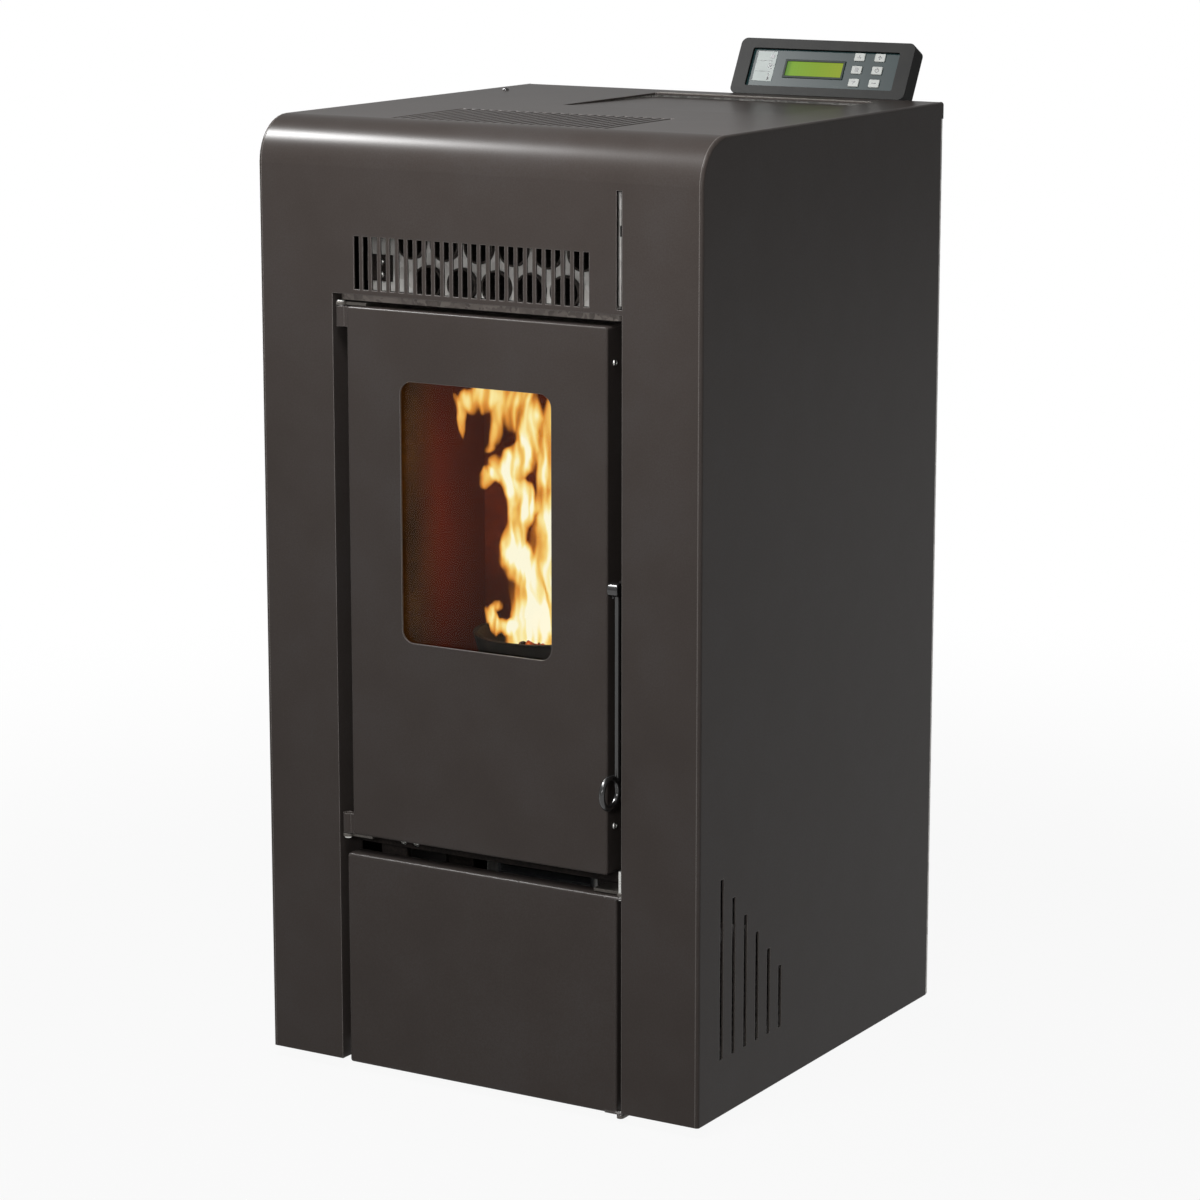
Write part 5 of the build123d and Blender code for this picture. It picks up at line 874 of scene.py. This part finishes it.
# Printed polyester: a white label and black screen ink, both satin.
label_white = moulded("polyester_label_white", "B6BEBB", "BFC6C3", (0.44, 0.54), 1.5, 0.01, level=0.08)
ink_black = moulded("screen_ink_black", "1A1C22", "23262C", (0.40, 0.52), 1.0, 0.01)
# ABS, moulded: the display's dark rim.
rim_dark = moulded("abs_dark_green_rim", "15211C", "1B2823", (0.46, 0.58), 1.0, 0.01, level=0.08)

printing("console_label", [block(33.0, 33.0, 11.5, 17.0, 1.2)], 0.0, LABEL_THICK, label_white, "stove")
printing("console_label_marks", [flame_mark(LABEL_ACROSS, 45.0, 6.4), *fan_mark(LABEL_ACROSS, 33.2, 6.8),
                                 *warmth_mark(LABEL_ACROSS, 21.0, 7.4)], LABEL_THICK, MARK_THICK,
         ink_black, "stove")
printing("console_label_rules", [block(31.5, up, 8.6, 0.22) for up in (27.0, 39.2)], LABEL_THICK,
         RULE_THICK, ink_black, "stove")

window = block(*DISPLAY_MIDDLE, *DISPLAY_HALF)
around = block(*DISPLAY_MIDDLE, *(half + RIM_WIDE for half in DISPLAY_HALF))
printing("display_rim", [[around[here], around[there], window[there], window[here]]
                         for here, there in ((0, 1), (1, 2), (2, 3), (3, 0))], 0.0, RIM_HIGH,
         rim_dark, "stove")


def arrow(right, up, way):
    """Outline of a small triangle that points up, or down with way -1."""
    return [(right - ARROW_HALF, up - ARROW_FOOT * way), (right + ARROW_HALF, up - ARROW_FOOT * way),
            (right, up + ARROW_TIP * way)]


left_keys, right_keys = KEY_COLUMNS
high, middle, low = KEY_ROWS
arm_half = (SIGN_HALF - SIGN_THIN) / 2
KEY_MARKS = (
    [arrow(left_keys, high, 1)],
    [block(left_keys, middle, 2.0, 2.0, 0.5)],
    [arrow(left_keys, low, -1)],
    [block(right_keys, high, SIGN_HALF, SIGN_THIN)]
    + [block(right_keys, high + hand * (SIGN_THIN + arm_half), SIGN_THIN, arm_half) for hand in (1, -1)],
    [arc_band(right_keys, middle, 1.6, 2.4, 120.0, 420.0), block(right_keys, middle + 1.5, 0.45, 1.5)],
    [block(right_keys, low, SIGN_HALF, SIGN_THIN)],
)
for number, outlines in enumerate(KEY_MARKS, start=1):
    printing(f"key_mark_{number}", outlines, KEY_STAND, KEY_INK, ink_black, f"button_{number}")


# ---- thin trim
def bar(low, high):
    """Points and faces of a plate between two corners."""
    (x0, y0, z0), (x1, y1, z1) = low, high
    return slab([Vector((x0, y0, z0)), Vector((x1, y0, z0)), Vector((x1, y1, z0)), Vector((x0, y1, z0))],
                Vector((0.0, 0.0, z1 - z0)))


# Edge strip on the casing behind the lid, lighter than the coat: a painted highlight on the lid's rear edge.
# The single dark screw in the top's left.
piece("hopper_edge_highlight_strip", *bar((-64.0, 191.2, 962.0), (188.0, 194.2, 962.7)), phosphated, "stove",
      bevel_mm=0.25)
piece("top_screw_head", *pan_head((-220.5, 140.8, 962.0), (0, 0, 1), 0.6), handle_black, "stove")

# Clamp at the tube plate's left end, dark, with two bright screws.
piece("tube_plate_clamp", *together([bar((-146.5, -226.5, 803.0), (-121.0, -224.0, 829.0)),
                                     bar((-146.5, -233.0, 803.0), (-144.0, -226.5, 829.0))]),
      soot_paint, "stove", bevel_mm=0.5)
piece("tube_plate_clamp_screws", *heads([((-133.0, -226.5, level), (0, -1, 0)) for level in (809.0, 822.0)]),
      bright_zinc, "stove", "zinc_screws")


# ================================================================ room, light and camera
FLOOR_HALF = 6.0
PAPER_WHITE = 0.93                      # how far the lens sees the floor lifted to white near the stove
FADE_FROM, FADE_TO = 0.7, 2.2           # metres from the stove over which it becomes quite white
SKY_FILL = 0.04                         # the world's light on matt surfaces
SKY_MIRRORED = 0.45                     # how bright the world is in reflections
FIRE_COLOUR = "FF9A3C"
FIRE_WATTS, FIRE_RADIUS = 0.6, 0.030
FIRE_SPOTS = {"fire_light_low": (0.010, -0.150, 0.520), "fire_light_high": (-0.005, -0.150, 0.620)}

# The camera, as found from the casing's edges in the photograph.
CAMERA_LENS, CAMERA_SENSOR = 115.71, 36.0
CAMERA_SPOT = (1.9810, -3.3439, 1.2713)
CAMERA_DOWN, CAMERA_TURN = 11.825, 30.891     # degrees


def white_to_the_lens(tree, glossy=1.0):
    """1 for camera and transmission rays, glossy for glossy rays, else 0."""
    path = add(tree, "ShaderNodeLightPath")
    mirrored = calculate(tree, "MULTIPLY", path.outputs["Is Glossy Ray"], glossy)
    seen = calculate(tree, "MAXIMUM", path.outputs["Is Camera Ray"], mirrored)
    return calculate(tree, "MAXIMUM", seen, path.outputs["Is Transmission Ray"])


def studio_floor():
    """Matt white paper floor: its shadow stays, the rest is lifted towards white."""
    made, tree = bare_material("studio_floor_paper")
    paper = add(tree, "ShaderNodeBsdfDiffuse", {"Color": linear("A8A8A7")})
    lift = add(tree, "ShaderNodeEmission", {"Color": linear(WHITE), "Strength": 1.0})
    away = add(tree, "ShaderNodeVectorMath", {0: place(tree)}, operation="LENGTH").outputs["Value"]
    whiter = spread(tree, away, PAPER_WHITE, 1.0, FADE_FROM, FADE_TO, "SMOOTHSTEP")
    share = calculate(tree, "MULTIPLY", white_to_the_lens(tree), whiter)
    mixed = add(tree, "ShaderNodeMixShader", {0: share, 1: paper.outputs[0], 2: lift.outputs[0]})
    add(tree, "ShaderNodeOutputMaterial", {"Surface": mixed.outputs[0]})
    return made


floor_mesh = bpy.data.meshes.new("studio_floor")
floor_mesh.from_pydata([(x * FLOOR_HALF, y * FLOOR_HALF, 0) for x, y in ((-1, -1), (1, -1), (1, 1), (-1, 1))],
                       [], [(0, 1, 2, 3)])
floor_mesh.materials.append(studio_floor())
floor = bpy.data.objects.new("studio_floor", floor_mesh)
bpy.context.scene.collection.objects.link(floor)

world = bpy.data.worlds.new("studio_world")
bpy.context.scene.world = world
world.use_nodes = True
sky_tree = world.node_tree
sky_tree.nodes.clear()
strength = spread(sky_tree, white_to_the_lens(sky_tree, SKY_MIRRORED), SKY_FILL, 1.0)
sky = add(sky_tree, "ShaderNodeBackground", {"Color": linear(WHITE), "Strength": strength})
add(sky_tree, "ShaderNodeOutputWorld", {"Surface": sky.outputs[0]})


def light(name, kind, spot, watts, code=WHITE):
    """A lamp of that kind at a spot."""
    data = bpy.data.lights.new(name, kind)
    data.energy = watts
    data.color = linear(code)[:3]
    made = bpy.data.objects.new(name, data)
    made.location = spot
    bpy.context.scene.collection.objects.link(made)
    return made


def lamp(name, spot, aim, size, watts):
    """A soft square lamp at spot, turned to aim."""
    made = light(name, "AREA", spot, watts)
    made.data.shape = "SQUARE"
    made.data.size = size
    made.rotation_euler = (Vector(aim) - Vector(spot)).to_track_quat("-Z", "Y").to_euler()
    return made


lamp("key_lamp", (0.1, -1.05, 1.8), (0.0, -0.25, 0.75), 0.5, 18.5)
lamp("front_lamp", (1.1, -3.0, 1.35), (0.0, -0.25, 0.7), 0.5, 26.0)
# Soft fill on the left side and the back, which the photo's view doesn't show.
lamp("back_left_fill", (-2.4, 1.0, 1.0), (0.0, 0.0, 0.5), 1.4, 30.0)
lamp("right_fill", (2.6, 0.9, 0.9), (0.0, 0.0, 0.5), 1.2, 2.0)
# A highlight on the casing's upper bend, strongest at its left, as from a light overhead: it adds no
# light to matt surfaces.
lamp("sheen_lamp", (-1.18, -0.69, 2.16), (0.0, -0.25, 0.95), 0.35, 110.0).visible_diffuse = False

# The fire's own light on the brazier, the liners and the inside of the door.
for name, spot in FIRE_SPOTS.items():
    fire = light(name, "POINT", spot, FIRE_WATTS, FIRE_COLOUR)
    fire.data.shadow_soft_size = FIRE_RADIUS
    fire.visible_camera = False
    fire.visible_glossy = False
    fire.visible_transmission = False

camera_data = bpy.data.cameras.new("photo_camera")
camera_data.lens = CAMERA_LENS
camera_data.sensor_width = CAMERA_SENSOR
camera = bpy.data.objects.new("photo_camera", camera_data)
camera.location = CAMERA_SPOT
camera.rotation_euler = (math.radians(90.0 - CAMERA_DOWN), 0.0, math.radians(CAMERA_TURN))
bpy.context.scene.collection.objects.link(camera)
bpy.context.scene.camera = camera

bpy.context.scene.view_settings.view_transform = "Standard"
